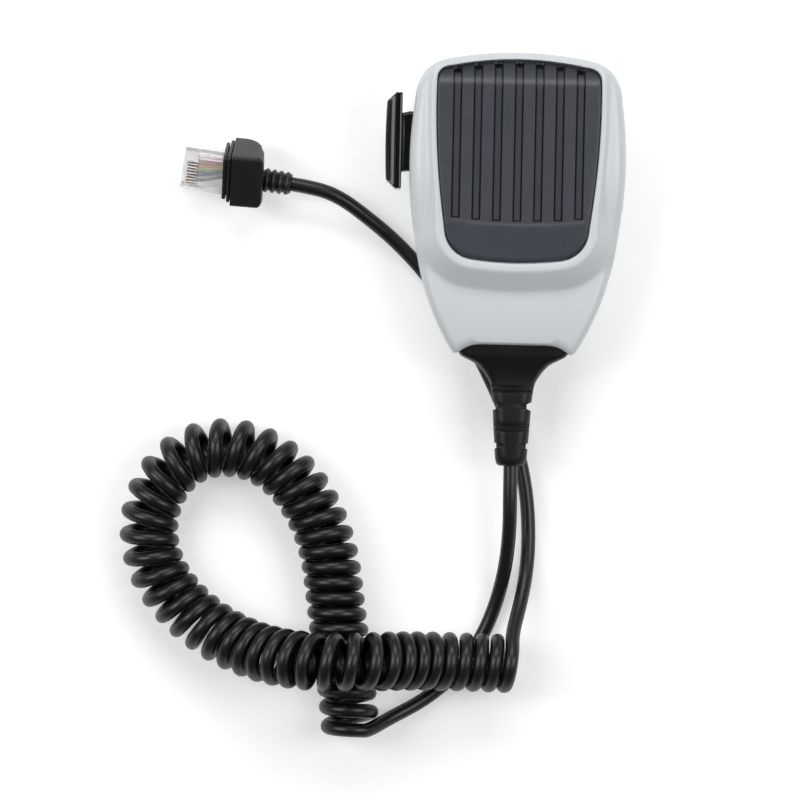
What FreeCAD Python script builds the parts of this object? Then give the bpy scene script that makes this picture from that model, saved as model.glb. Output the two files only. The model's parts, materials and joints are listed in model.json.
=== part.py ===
import FreeCAD, Part
import math
import os

# Hand microphone lying on its back. Millimetres.
# Origin: centre of the outer face of the hanger stud on the back. +Z leaves the grille,
# +Y points to the top of the case, away from the cord, and the push-to-talk button is on -X.

V = FreeCAD.Vector

# ---- driving dimensions ------------------------------------------------------------------

# heights
STUD_FLANGE_T = 2.0
CASE_BACK_Z = 7.0
PARTING_Z = 19.0
SHOULDER_Z = 24.8
LOWER_FACE_Z = 28.2
CREST_Z = 34.0
WALL = 2.0

# the head is fuller than the lower end: its flanks stand higher, and slope down between these two
HEAD_EDGE_Z = 28.6
HEAD_FACE_Z = 32.4
HEAD_INSET = 3.4
HEAD_SLOPE_Y = (-27.0, 8.0)

# case outline, right-hand side, from the top centre clockwise
CASE_HALF_W = 33.8
CASE_TOP_Y = 42.8
CASE_END_Y = -48.6
CASE_TIP_Y = -51.6
CASE_MID_Y = -4.4
CASE_SHOULDER = (22.5, 40.4)
CASE_CORNER = (29.5, 36.2)
CASE_SIDE_TOP = (32.3, 28.0)
CASE_WIDEST_Y = 7.0
CASE_WAIST = (31.4, -17.0)
CASE_TAPER = (27.2, -34.4)
CASE_TIP = (18.8, CASE_TIP_Y)
CASE_TIP_INNER = (17.5, -51.4)
CASE_END_BEND = (14.8, -49.5)
CASE_END_HALF_W = 11.5

# grille outline, right-hand side
GRILLE_MID_Y = 9.0
GRILLE_TOP_Y = 40.7
GRILLE_BOTTOM_Y = -22.9
GRILLE_HALF_W = 25.4
GRILLE_SHOULDER = (21.4, 38.2)
GRILLE_CORNER = (24.4, 36.9)
GRILLE_SIDE_TOP = (25.4, 34.2)
GRILLE_SIDE = (25.1, 13.0)
GRILLE_SIDE_END = (22.3, -12.5)
GRILLE_LOWER_CORNER = (20.3, -18.3)
GRILLE_LOWER = (14.4, -21.9)
GRILLE_FACE_Z = 33.2
GRILLE_GAP = 0.35
LEDGE_Z = 29.0
LEDGE_T = 1.5
CLOTH_T = 0.5
GROOVES = 7
GROOVE_PITCH = 6.4
GROOVE_W = 2.8
GROOVE_DEPTH = 0.9
GROOVE_END_Y = -9.5
PORT_SIZE = (2.5, 2.0)
PORT_RIM = 0.4
GRILLE_FALL_ANGLE = 7.0

# the top end rolls down: where the roll starts, a point on it as (y, fall), and its fall at the end
ROLL_START_Y = 31.0
ROLL_MIDDLE = (39.4, 2.6)
ROLL_END_FALL = 7.0
ROLL_OVERRUN = 0.4

# case fasteners
CASE_SCREW_AT = [(24.5, 31.5), (-24.5, 31.5), (20.0, -38.0), (-20.0, -38.0)]
CASE_SCREW_R = 1.3
CASE_BOSS_R = 3.2
BOARD_SCREW_AT = [(17.5, 24.0), (-17.5, 26.5), (17.5, -28.0), (-17.5, -28.0)]
BOARD_SCREW_R = 1.0

# hanger stud
STUD_R = 8.75
STUD_NECK_R = 4.5
STUD_SPIGOT_R = 3.5
STUD_SCREW_R = 1.5

# push-to-talk button, at rest
PTT_Z = 19.5
PTT_TRAVEL = 2.2
PADDLE_X = (-41.5, -36.3)
PADDLE_Y = (-0.3, 29.7)
PADDLE_H = 15.0
NECK_Y = (5.3, 24.0)
NECK_H = 10.0
FLANGE_X = (-30.2, -28.9)
FLANGE_Y = (3.0, 26.4)
FLANGE_Z = (13.2, 25.6)
RIB_Y = 12.0
RIB_TIP_X = -26.35
OPENING_GAP = 0.35

# return springs of the button
SPRING_Y = (5.2, 24.2)
SPRING_R = 1.6
SPRING_WIRE_R = 0.22
SPRING_X = (-28.8, -24.3)
SPRING_TURNS = 4

# circuit board and the switch on it
BOARD_Z = 16.0
BOARD_T = 1.6
BOARD_HALF_W = 22.0
BOARD_Y = (-32.0, 29.5)
SWITCH_X = (-22.0, -15.5)
SWITCH_Y = (8.0, 21.0)
SWITCH_H = 5.8
LEVER_PIVOT = (-22.8, 20.2)
LEVER_LENGTH = 12.0
LEVER_ANGLE = 20.0
LEVER_T = 0.4
PLUNGER_Y = 16.0
PLUNGER_R = 0.8
PLUNGER_TIP_X = -23.8

# microphone capsule
CAPSULE_AT = (0.0, 14.0)
CAPSULE_R = 4.85
CAPSULE_Z = (22.8, 28.0)
CAPSULE_BOOT_R = 7.0

# cord
CORD_R = 2.25
COIL_R = 9.35
BOOT_Z = 15.5
BOOT_END_Y = -86.5
# rounded sections of the boot as (y, half width, lowest z, highest z), and their corner rounding
BOOT_SECTIONS = [
    (-47.6, 18.2, 9.0, 25.0), (-52.0, 16.4, 9.2, 24.2), (-53.2, 14.2, 9.4, 23.6), (-54.5, 11.5, 9.6, 22.8),
    (-56.0, 10.0, 9.8, 22.2), (-58.0, 8.5, 10.0, 21.6), (-61.0, 7.4, 10.0, 21.2), (-66.0, 6.0, 10.0, 21.0),
    (-72.0, 5.7, 10.1, 20.9), (-84.5, 4.85, 10.6, 20.4), (BOOT_END_Y, 4.1, 11.4, 19.6),
]
BOOT_ROUNDING = 4.0
FLEX_SLOT_DEPTH = 1.5
FACE_SLOTS_Y = [(-63.7, -61.0), (-76.0, -73.0)]
SIDE_SLOTS_Y = [(-69.0, -66.0), (-81.7, -78.7)]
SLOTTED_HALF_W = 5.9
SLOTTED_Z = (10.0, 21.1)
CORD_TAIL_Y = -40.0
CLAMP_Y = -44.2
CLAMP_SCREW_X = (-6.4, 6.4)

# the lead that leaves the boot, drops to the table and ends in the coil's last turn
MIC_LEAD = [
    (0.0, BOOT_END_Y, BOOT_Z), (0.0, -95.5, BOOT_Z), (0.2, -106.0, 13.1), (-0.6, -117.5, 8.2),
    (-3.1, -129.5, 4.0), (-7.7, -141.3, 2.3), (-15.2, -152.6, 2.3), (-25.6, -161.4, 3.9),
    (-36.4, -167.0, 8.2), (-45.6, -170.2, 12.0),
]

# the axis of the curly stretch: up from its lower end, once round, and right over itself
COIL_AXIS = [
    (-48.4, -173.3, 9.35), (-50.0, -157.5, 9.35), (-52.6, -142.5, 9.35), (-54.4, -129.0, 9.35),
    (-56.4, -115.0, 9.35), (-60.8, -103.0, 9.35), (-67.6, -92.6, 9.35), (-77.4, -84.9, 9.35),
    (-89.2, -81.9, 9.35), (-101.4, -84.7, 9.35), (-110.4, -93.8, 9.35), (-114.2, -106.5, 9.35),
    (-112.2, -119.3, 9.35), (-105.2, -130.4, 9.35), (-94.4, -139.6, 10.5), (-82.0, -145.6, 15.5),
    (-70.5, -148.2, 22.8), (-58.5, -148.9, 28.7), (-45.5, -148.6, 28.7), (-33.5, -148.2, 22.6),
    (-21.5, -148.3, 16.4), (-9.5, -148.6, 14.3), (2.7, -148.8, 13.6),
]

# the lead that leaves the coil, passes under the microphone and ends in the plug
PLUG_LEAD = [
    (0.3, -148.5, 19.5), (1.7, -139.0, 15.4), (4.3, -129.5, 8.6), (6.2, -118.5, 3.5),
    (6.5, -106.0, 2.3), (5.0, -91.5, 2.3), (0.4, -74.5, 2.3), (-7.6, -57.0, 2.3),
    (-17.0, -40.5, 2.3), (-27.8, -26.2, 2.3), (-37.8, -16.0, 3.2), (-46.8, -8.9, 5.8),
    (-55.2, -3.0, 8.9), (-63.0, -0.17, 10.1), (-70.9, 0.9, 10.1),
]

# plug: an 8-way modular plug in its hood
PLUG_NOSE = V(-105.7, 5.6, 10.1)
PLUG_TURN = -7.7
PLUG_ROLL = 28.0
PLUG_W = 11.68
PLUG_H = 6.5
PLUG_L = 21.5
CONTACTS = 8
CONTACT_PITCH = 1.02
CONTACT_T = 0.32
CONTACT_X = (0.9, 4.4)
WIRE_R = 0.48
WIRE_X = (4.6, 20.0)
HOOD_X = (13.5, 26.4)
HOOD_W = 17.3
HOOD_T = 14.8
HOOD_LIP = 1.45
HOOD_LIP_STEP = 0.7
RELIEF_END_X = 35.1
RELIEF_R = (3.9, 3.6)
RELIEF_RIBS = 4
RELIEF_GROOVE = 0.9
LATCH_PIVOT = (0.9, -3.95)
LATCH_TIP = (12.6, -6.5)
LATCH_W = 6.2
LATCH_T = 1.0


# ---- helpers -----------------------------------------------------------------------------

def box(x, y, z):
    """A box between pairs of coordinates."""
    return Part.makeBox(x[1] - x[0], y[1] - y[0], z[1] - z[0], V(x[0], y[0], z[0]))


def cylinder(radius, start, end):
    """A round bar from one point to another."""
    a = V(*start)
    b = V(*end)
    return Part.makeCylinder(radius, (b - a).Length, a, b - a)


def pillar(radius, at, z):
    """An upright cylinder."""
    return cylinder(radius, (at[0], at[1], z[0]), (at[0], at[1], z[1]))


def arc(a, middle, b):
    return Part.Arc(a, middle, b).toShape()


def line(a, b):
    return Part.LineSegment(a, b).toShape()


def prism(wire, height):
    """The solid between a flat wire and the same wire raised."""
    return Part.Face(wire).extrude(V(0, 0, height))


def loft(wires):
    return Part.makeLoft(wires, True, True)


def joined(shapes):
    """One solid from overlapping ones."""
    first = shapes[0]
    return first.multiFuse(shapes[1:]).removeSplitter()


def compound(shapes):
    return Part.makeCompound(shapes)


def scaled(point, centre_y, half_w, half_l, inset, z):
    """A point of an outline moved inwards by inset at the outline's widest places."""
    x = point[0] * (half_w - inset) / half_w
    y = centre_y + (point[1] - centre_y) * (half_l - inset) / half_l
    return V(x, y, z)


def chain(right, place):
    """A closed symmetrical wire. right: from the top centre, spans of arc (a, middle, b) or line (a, b)."""
    edges = []
    for side in (1, -1):
        for span in right:
            points = [place((side * p[0], p[1])) for p in span]
            if len(points) == 3:
                edges.append(arc(*points))
            else:
                edges.append(line(*points))
    return Part.Wire(Part.__sortEdges__(edges))


def case_outline(z, inset=0.0):
    half_l = CASE_TOP_Y - CASE_MID_Y

    def place(point):
        return scaled(point, CASE_MID_Y, CASE_HALF_W, half_l, inset, z)

    top_bulge = (CASE_SHOULDER[0] / 2, CASE_TOP_Y - (CASE_TOP_Y - CASE_SHOULDER[1]) / 4)
    spans = [
        ((0, CASE_TOP_Y), top_bulge, CASE_SHOULDER),
        (CASE_SHOULDER, CASE_CORNER, CASE_SIDE_TOP),
        (CASE_SIDE_TOP, (CASE_HALF_W, CASE_WIDEST_Y), CASE_WAIST),
        (CASE_WAIST, CASE_TAPER, CASE_TIP),
        (CASE_TIP, CASE_TIP_INNER),
        (CASE_TIP_INNER, CASE_END_BEND, (CASE_END_HALF_W, CASE_END_Y)),
        ((CASE_END_HALF_W, CASE_END_Y), (0, CASE_END_Y)),
    ]
    return chain(spans, place)


def grille_outline(z, inset=0.0):
    half_l = GRILLE_TOP_Y - GRILLE_MID_Y

    def place(point):
        return scaled(point, GRILLE_MID_Y, GRILLE_HALF_W, half_l, inset, z)

    top_bulge = (GRILLE_SHOULDER[0] / 2, GRILLE_TOP_Y - (GRILLE_TOP_Y - GRILLE_SHOULDER[1]) / 4)
    low_bulge = (GRILLE_LOWER[0] / 2, GRILLE_BOTTOM_Y + (GRILLE_LOWER[1] - GRILLE_BOTTOM_Y) / 4)
    spans = [
        ((0, GRILLE_TOP_Y), top_bulge, GRILLE_SHOULDER),
        (GRILLE_SHOULDER, GRILLE_CORNER, GRILLE_SIDE_TOP),
        (GRILLE_SIDE_TOP, GRILLE_SIDE, GRILLE_SIDE_END),
        (GRILLE_SIDE_END, GRILLE_LOWER_CORNER, GRILLE_LOWER),
        (GRILLE_LOWER, low_bulge, (0, GRILLE_BOTTOM_Y)),
    ]
    return chain(spans, place)


def side_profile(lower):
    """The space under the front as seen from the side, lowered by an amount: the top end rolls down."""
    half_w = CASE_HALF_W + 1
    end_y = CASE_TIP_Y - 1
    top_z = CREST_Z - lower
    roll_start = V(-half_w, ROLL_START_Y, top_z)
    roll_middle = V(-half_w, ROLL_MIDDLE[0], top_z - ROLL_MIDDLE[1])
    roll_end = V(-half_w, CASE_TOP_Y + ROLL_OVERRUN, top_z - ROLL_END_FALL)
    edges = [
        line(V(-half_w, end_y, 0), V(-half_w, end_y, top_z)),
        line(V(-half_w, end_y, top_z), roll_start),
        arc(roll_start, roll_middle, roll_end),
        line(roll_end, V(-half_w, roll_end.y, 0)),
        line(V(-half_w, roll_end.y, 0), V(-half_w, end_y, 0)),
    ]
    return Part.Face(Part.Wire(edges)).extrude(V(2 * half_w, 0, 0))


# ---- a cord's path: straight runs joined by tangent arcs -----------------------------------

def cord_path(route, name):
    """The wire along a route. Each arc's radius is 0.45 of its shorter run over the tangent of half its turn."""
    points = [V(*p) for p in route]
    edges = []
    radii = []
    start = points[0]
    for before, corner, after in zip(points, points[1:], points[2:]):
        back = (before - corner).normalize()
        onward = (after - corner).normalize()
        reach = 0.45 * min((before - corner).Length, (after - corner).Length)
        half_turn = (math.pi - back.getAngle(onward)) / 2
        radius = reach / math.tan(half_turn)
        radii.append(radius)
        arc_start = corner + back * reach
        arc_end = corner + onward * reach
        inward = (back + onward).normalize()
        depth = radius / math.cos(half_turn) - radius
        edges.append(line(start, arc_start))
        edges.append(arc(arc_start, corner + inward * depth, arc_end))
        start = arc_end
    edges.append(line(start, points[-1]))
    path = Part.Wire(edges)
    print(name, "length", round(path.Length, 1), "radii", [round(r) for r in radii])
    return path


def cord_solid(route, radius, name):
    """A round cord along a route."""
    path = cord_path(route, name)
    first = path.Edges[0]
    ring = Part.makeCircle(radius, first.valueAt(first.FirstParameter), first.tangentAt(first.FirstParameter))
    solid = path.makePipe(Part.Face(Part.Wire(ring)))
    expected = math.pi * radius ** 2 * path.Length
    print(name, "volume over section times length", round(solid.Volume / expected, 4))
    return solid


# ---- the case ------------------------------------------------------------------------------

def head():
    """The full flanks round the grille, cut by a plane that falls towards the lower end."""
    sides = prism(case_outline(SHOULDER_Z), HEAD_EDGE_Z - SHOULDER_Z)
    flank = loft([case_outline(HEAD_EDGE_Z), case_outline(HEAD_FACE_Z, HEAD_INSET)])
    half_w = CASE_HALF_W + 1
    low_y, high_y = HEAD_SLOPE_Y
    far_y = CASE_TOP_Y + 1
    corners = [
        V(-half_w, low_y, SHOULDER_Z), V(-half_w, high_y, HEAD_FACE_Z), V(-half_w, far_y, HEAD_FACE_Z),
        V(-half_w, far_y, SHOULDER_Z),
    ]
    edges = [line(a, b) for a, b in zip(corners, corners[1:] + corners[:1])]
    below = Part.Face(Part.Wire(edges)).extrude(V(2 * half_w, 0, 0))
    return joined([sides, flank]).common(below)


def ptt_opening():
    """The hole in the left wall that the button's neck passes through."""
    return box(
        (-CASE_HALF_W - 2, -CASE_HALF_W + 5),
        (NECK_Y[0] - OPENING_GAP, NECK_Y[1] + OPENING_GAP),
        (PTT_Z - NECK_H / 2 - OPENING_GAP, PTT_Z + NECK_H / 2 + OPENING_GAP),
    )


def boot_opening():
    """The hole in the lower end that the boot's root fills."""
    return box((-10.2, 10.2), (CASE_TIP_Y - 1, CASE_END_Y + 6), (BOOT_Z - 4.2, BOOT_Z + 6.2))


def front_case():
    """The front shell: a lower face, a raised surround and a recess with a ledge that the grille sits on."""
    body = prism(case_outline(PARTING_Z), SHOULDER_Z - PARTING_Z)
    shoulder = loft([case_outline(SHOULDER_Z), case_outline(LOWER_FACE_Z, 2.6)])
    surround = loft([grille_outline(LOWER_FACE_Z - 1.6, -7.0), grille_outline(CREST_Z, -1.7)])
    surround = surround.common(prism(case_outline(PARTING_Z, 0.4), CREST_Z))
    outer = joined([body, shoulder, head(), surround]).common(side_profile(0))
    ceiling = LOWER_FACE_Z - WALL
    room = prism(case_outline(PARTING_Z - 1, WALL), ceiling - PARTING_Z + 1)
    pocket = prism(grille_outline(ceiling - 1, 2.0), LEDGE_Z - LEDGE_T - ceiling + 1)
    window = prism(grille_outline(ceiling, 6.0), LEDGE_Z - ceiling + 1)
    recess = prism(grille_outline(LEDGE_Z, -GRILLE_GAP), CREST_Z)
    shell = outer.cut(compound([room, pocket, window, recess]))
    bosses = [pillar(CASE_BOSS_R, at, (PARTING_Z, ceiling + 1)) for at in CASE_SCREW_AT]
    shell = joined([shell] + bosses)
    holes = [pillar(CASE_SCREW_R + 0.02, at, (PARTING_Z - 1, ceiling - 1)) for at in CASE_SCREW_AT]
    return shell.cut(compound(holes + [ptt_opening(), boot_opening()]))


def spring_post(y):
    """The upright wall that a return spring pushes against."""
    return box((SPRING_X[1] + 0.1, SPRING_X[1] + 1.7), (y - 2.1, y + 2.1), (CASE_BACK_Z + WALL / 2, PTT_Z + 2.4))


def rear_case():
    edge = 3.2
    back = loft([case_outline(CASE_BACK_Z, edge * 0.8), case_outline(CASE_BACK_Z + edge)])
    sides = prism(case_outline(CASE_BACK_Z + edge), PARTING_Z - CASE_BACK_Z - edge)
    room = prism(case_outline(CASE_BACK_Z + WALL, WALL), PARTING_Z)
    shell = joined([back, sides]).cut(room)
    floor = CASE_BACK_Z + WALL / 2
    raised = [pillar(CASE_BOSS_R, at, (floor, PARTING_Z)) for at in CASE_SCREW_AT]
    raised += [pillar(2.4, at, (floor, BOARD_Z)) for at in BOARD_SCREW_AT]
    raised += [spring_post(y) for y in SPRING_Y]
    raised += [box((-9.0, 9.0), (-47.0, -41.5), (floor, BOOT_Z - CORD_R - 0.4))]
    shell = joined([shell] + raised)
    cuts = [ptt_opening(), boot_opening(), pillar(STUD_SPIGOT_R + 0.05, (0, 0), (CASE_BACK_Z - 1, CASE_BACK_Z + WALL + 1))]
    for at in CASE_SCREW_AT:
        cuts.append(pillar(CASE_SCREW_R + 0.15, at, (CASE_BACK_Z - 1, PARTING_Z + 1)))
        cuts.append(pillar(2.6, at, (CASE_BACK_Z - 1, CASE_BACK_Z + 2.6)))
    for at in BOARD_SCREW_AT:
        cuts.append(pillar(BOARD_SCREW_R + 0.02, at, (CASE_BACK_Z + WALL + 0.5, BOARD_Z + 1)))
    for x in CLAMP_SCREW_X:
        cuts.append(pillar(BOARD_SCREW_R + 0.02, (x, CLAMP_Y), (CASE_BACK_Z + WALL, BOOT_Z)))
    return shell.cut(compound(cuts))


def grille():
    """The dark front plate: seven grooves with a sound port at the top of each, and a smooth end that falls away."""
    back_z = LEDGE_Z + CLOTH_T
    plate = prism(grille_outline(back_z), CREST_Z - back_z).common(side_profile(CREST_Z - GRILLE_FACE_Z))
    fall = Part.makeBox(60, 18, 4, V(-30, -18, 0))
    fall.rotate(V(0, 0, 0), V(1, 0, 0), GRILLE_FALL_ANGLE)
    fall.translate(V(0, GROOVE_END_Y, GRILLE_FACE_Z))
    cuts = [fall]
    for i in range(GROOVES):
        x = (i - (GROOVES - 1) / 2) * GROOVE_PITCH
        fall_share = ((abs(x) + PORT_SIZE[0] / 2) / GRILLE_SHOULDER[0]) ** 2
        top_y = GRILLE_TOP_Y - PORT_RIM - (GRILLE_TOP_Y - GRILLE_SHOULDER[1]) * fall_share
        span = (x - GROOVE_W / 2, x + GROOVE_W / 2)
        cuts.append(box(span, (GROOVE_END_Y, top_y), (GRILLE_FACE_Z - GROOVE_DEPTH, CREST_Z)))
        port = (x - PORT_SIZE[0] / 2, x + PORT_SIZE[0] / 2)
        cuts.append(box(port, (top_y - PORT_SIZE[1], top_y), (back_z - 1, CREST_Z)))
    return plate.cut(compound(cuts))


def grille_cloth():
    return prism(grille_outline(LEDGE_Z + 0.02, 0.8), CLOTH_T - 0.04)


def case_screws():
    """Four countersunk-in screws with round heads and a cross recess."""
    screws = []
    for at in CASE_SCREW_AT:
        head_z = CASE_BACK_Z + 0.6
        head = pillar(2.4, at, (head_z, head_z + 2.0))
        shank = pillar(CASE_SCREW_R, at, (head_z + 2.0, PARTING_Z + 5.5))
        slot_a = box((at[0] - 1.4, at[0] + 1.4), (at[1] - 0.3, at[1] + 0.3), (head_z - 1, head_z + 1.0))
        slot_b = box((at[0] - 0.3, at[0] + 0.3), (at[1] - 1.4, at[1] + 1.4), (head_z - 1, head_z + 1.0))
        screws.append(joined([head, shank]).cut(slot_a).cut(slot_b))
    return compound(screws)


# ---- the hanger stud -----------------------------------------------------------------------

def hanger_stud():
    flange = pillar(STUD_R, (0, 0), (0, STUD_FLANGE_T))
    neck = pillar(STUD_NECK_R, (0, 0), (STUD_FLANGE_T, CASE_BACK_Z))
    spigot = pillar(STUD_SPIGOT_R, (0, 0), (CASE_BACK_Z, CASE_BACK_Z + WALL))
    bore = pillar(STUD_SCREW_R + 0.02, (0, 0), (STUD_FLANGE_T + 0.6, CASE_BACK_Z + WALL + 1))
    return joined([flange, neck, spigot]).cut(bore)


def hanger_washer():
    z = CASE_BACK_Z + WALL
    return pillar(5.5, (0, 0), (z, z + 0.8)).cut(pillar(STUD_SCREW_R + 0.1, (0, 0), (z - 1, z + 2)))


def hanger_screw():
    z = CASE_BACK_Z + WALL + 0.8
    head = pillar(3.0, (0, 0), (z, z + 2.2))
    shank = pillar(STUD_SCREW_R, (0, 0), (STUD_FLANGE_T + 1.2, z))
    return joined([head, shank]).cut(box((-1.9, 1.9), (-0.35, 0.35), (z + 1.2, z + 3)))


# ---- the push-to-talk button and its switch --------------------------------------------------

def ptt_paddle():
    """The part that a thumb presses: chamfered ends in plan, rounded front and back, a slight bulge outwards."""
    chamfer = 2.8
    bulge = 0.5
    rounding = 2.4
    low, high = PADDLE_Y
    outer, inner = PADDLE_X
    z0 = PTT_Z - PADDLE_H / 2
    z1 = PTT_Z + PADDLE_H / 2
    plan = [
        line(V(inner, low, z0), V(inner, high, z0)),
        line(V(inner, high, z0), V(outer + chamfer, high, z0)),
        line(V(outer + chamfer, high, z0), V(outer + bulge, high - chamfer, z0)),
        arc(V(outer + bulge, high - chamfer, z0), V(outer, (low + high) / 2, z0), V(outer + bulge, low + chamfer, z0)),
        line(V(outer + bulge, low + chamfer, z0), V(outer + chamfer, low, z0)),
        line(V(outer + chamfer, low, z0), V(inner, low, z0)),
    ]
    corner = rounding * (1 - math.sqrt(0.5))
    end = [
        line(V(inner, low, z0), V(outer + rounding, low, z0)),
        arc(V(outer + rounding, low, z0), V(outer + corner, low, z0 + corner), V(outer, low, z0 + rounding)),
        line(V(outer, low, z0 + rounding), V(outer, low, z1 - rounding)),
        arc(V(outer, low, z1 - rounding), V(outer + corner, low, z1 - corner), V(outer + rounding, low, z1)),
        line(V(outer + rounding, low, z1), V(inner, low, z1)),
        line(V(inner, low, z1), V(inner, low, z0)),
    ]
    bar = Part.Face(Part.Wire(end)).extrude(V(0, high - low, 0))
    return prism(Part.Wire(plan), PADDLE_H).common(bar)


def ptt_button():
    """The paddle, the neck through the case wall, the flange that keeps it in and the rib for the switch."""
    neck_x = (PADDLE_X[1] - 0.5, FLANGE_X[0] + 0.5)
    neck = box(neck_x, NECK_Y, (PTT_Z - NECK_H / 2, PTT_Z + NECK_H / 2))
    flange = box(FLANGE_X, FLANGE_Y, FLANGE_Z)
    middle = switch_middle_z()
    nose_r = 1.2
    nose_x = RIB_TIP_X - nose_r
    rib = box((FLANGE_X[1] - 0.5, nose_x), (RIB_Y - nose_r, RIB_Y + nose_r), (middle - 1.5, middle + 1.5))
    nose = cylinder(nose_r, (nose_x, RIB_Y, middle - 1.5), (nose_x, RIB_Y, middle + 1.5))
    return joined([ptt_paddle(), neck, flange, rib, nose])


def ptt_springs():
    springs = []
    length = SPRING_X[1] - SPRING_X[0]
    for y in SPRING_Y:
        pitch = (length - 2 * SPRING_WIRE_R) / SPRING_TURNS
        helix = Part.makeHelix(pitch, pitch * SPRING_TURNS, SPRING_R)
        start = V(SPRING_R, 0, 0)
        ring = Part.Wire(Part.makeCircle(SPRING_WIRE_R, start, V(0, 1, pitch / (2 * math.pi * SPRING_R))))
        spring = Part.Wire(helix).makePipeShell([ring], True, True)
        spring.rotate(V(0, 0, 0), V(0, 1, 0), 90)
        spring.translate(V(SPRING_X[0] + SPRING_WIRE_R, y, PTT_Z))
        springs.append(spring)
    return compound(springs)


def switch_middle_z():
    return BOARD_Z + BOARD_T + SWITCH_H / 2


def ptt_switch():
    z = BOARD_Z + BOARD_T
    body = box(SWITCH_X, SWITCH_Y, (z, z + SWITCH_H))
    ear_x = (LEVER_PIVOT[0] - 0.8, SWITCH_X[0] + 0.5)
    ear_y = (LEVER_PIVOT[1] - 0.8, LEVER_PIVOT[1] + 0.8)
    ears = [box(ear_x, ear_y, (z, z + 0.8)), box(ear_x, ear_y, (z + SWITCH_H - 0.8, z + SWITCH_H))]
    pivot = (LEVER_PIVOT[0], LEVER_PIVOT[1])
    pin_hole = pillar(0.4, pivot, (z - 1, z + SWITCH_H + 1))
    middle = switch_middle_z()
    bore = cylinder(PLUNGER_R + 0.05, (SWITCH_X[0] - 1, PLUNGER_Y, middle), (SWITCH_X[0] + 3.8, PLUNGER_Y, middle))
    return joined([body] + ears).cut(compound([pin_hole, bore]))


def switch_lever():
    """A thin lever on a pin, at rest leaning out towards the button's rib."""
    z = BOARD_Z + BOARD_T
    barrel = pillar(0.6, LEVER_PIVOT, (z + 0.9, z + SWITCH_H - 0.9))
    pin = pillar(0.35, LEVER_PIVOT, (z + 0.05, z + SWITCH_H - 0.05))
    x, y = LEVER_PIVOT
    arm = box((x - LEVER_T / 2, x + LEVER_T / 2), (y - LEVER_LENGTH, y), (z + 0.9, z + SWITCH_H - 0.9))
    arm.rotate(V(x, y, 0), V(0, 0, 1), -LEVER_ANGLE)
    return joined([barrel, pin, arm])


def switch_plunger():
    middle = switch_middle_z()
    return cylinder(PLUNGER_R, (PLUNGER_TIP_X, PLUNGER_Y, middle), (SWITCH_X[0] + 2.2, PLUNGER_Y, middle))


# ---- the circuit board and what is on it ------------------------------------------------------

def circuit_board():
    board = box((-BOARD_HALF_W, BOARD_HALF_W), BOARD_Y, (BOARD_Z, BOARD_Z + BOARD_T))
    notches = [pillar(CASE_BOSS_R + 0.8, at, (BOARD_Z - 1, BOARD_Z + BOARD_T + 1)) for at in CASE_SCREW_AT]
    holes = [pillar(BOARD_SCREW_R + 0.15, at, (BOARD_Z - 1, BOARD_Z + BOARD_T + 1)) for at in BOARD_SCREW_AT]
    return board.cut(compound(notches + holes))


def board_screws():
    z = BOARD_Z + BOARD_T
    screws = []
    for at in BOARD_SCREW_AT:
        head = pillar(1.9, at, (z, z + 1.3))
        shank = pillar(BOARD_SCREW_R, at, (z - 6.5, z))
        slot = box((at[0] - 1.2, at[0] + 1.2), (at[1] - 0.2, at[1] + 0.2), (z + 0.7, z + 2))
        screws.append(joined([head, shank]).cut(slot))
    return compound(screws)


def preamp_chip():
    z = BOARD_Z + BOARD_T
    body = box((3.0, 8.0), (-12.0, -8.0), (z + 0.15, z + 1.7))
    legs = []
    for i in range(4):
        x = 3.6 + 1.27 * i
        legs.append(box((x - 0.2, x + 0.2), (-13.0, -7.0), (z, z + 0.3)))
    return joined([body] + legs)


def board_capacitors():
    z = BOARD_Z + BOARD_T
    return compound([pillar(2.0, at, (z, z + 5.0)) for at in ((-6.0, -8.0), (-6.0, -14.0), (12.5, -2.0))])


def board_resistors():
    z = BOARD_Z + BOARD_T
    parts = []
    for x, y in ((1.0, -17.0), (4.5, -17.0), (8.0, -17.0), (-12.0, -20.0), (-12.0, -16.0), (13.0, -9.0)):
        parts.append(box((x - 1.0, x + 1.0), (y - 0.6, y + 0.6), (z, z + 0.6)))
    return compound(parts)


def board_connector():
    z = BOARD_Z + BOARD_T
    shell = box((-7.0, 7.0), (-31.8, -26.8), (z, z + 4.2))
    mouth = box((-6.2, 6.2), (-32.8, -27.8), (z + 0.8, z + 3.4))
    return shell.cut(mouth)


def hook_up_wires():
    """Eight wires from the cord's end up to the connector on the board."""
    wires = []
    mouth_z = BOARD_Z + BOARD_T + 2.1
    for i in range(8):
        side = i - 3.5
        start = (side * 0.5, CORD_TAIL_Y + 0.2, BOOT_Z + (0.6 if i % 2 else -0.6))
        end = (side * 1.5, -30.4, mouth_z)
        wires.append(cylinder(0.24, start, end))
    return compound(wires)


def cord_clamp():
    """A saddle over the cord, screwed to the rear case."""
    low = BOOT_Z - CORD_R - 0.4
    body = box((-9.0, 9.0), (CLAMP_Y - 2.2, CLAMP_Y + 2.2), (low, low + 3.0))
    hump = cylinder(CORD_R + 1.2, (0, CLAMP_Y - 2.2, BOOT_Z), (0, CLAMP_Y + 2.2, BOOT_Z))
    under = box((-9.0, 9.0), (CLAMP_Y - 3, CLAMP_Y + 3), (low - 4, low))
    bore = cylinder(CORD_R + 0.01, (0, CLAMP_Y - 3, BOOT_Z), (0, CLAMP_Y + 3, BOOT_Z))
    holes = [pillar(BOARD_SCREW_R + 0.15, (x, CLAMP_Y), (low - 1, low + 4)) for x in CLAMP_SCREW_X]
    return joined([body, hump]).cut(compound([under, bore] + holes))


def clamp_screws():
    z = BOOT_Z - CORD_R - 0.4 + 3.0
    screws = []
    for x in CLAMP_SCREW_X:
        head = pillar(1.9, (x, CLAMP_Y), (z, z + 1.3))
        shank = pillar(BOARD_SCREW_R, (x, CLAMP_Y), (z - 6.0, z))
        screws.append(joined([head, shank]))
    return compound(screws)


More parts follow.
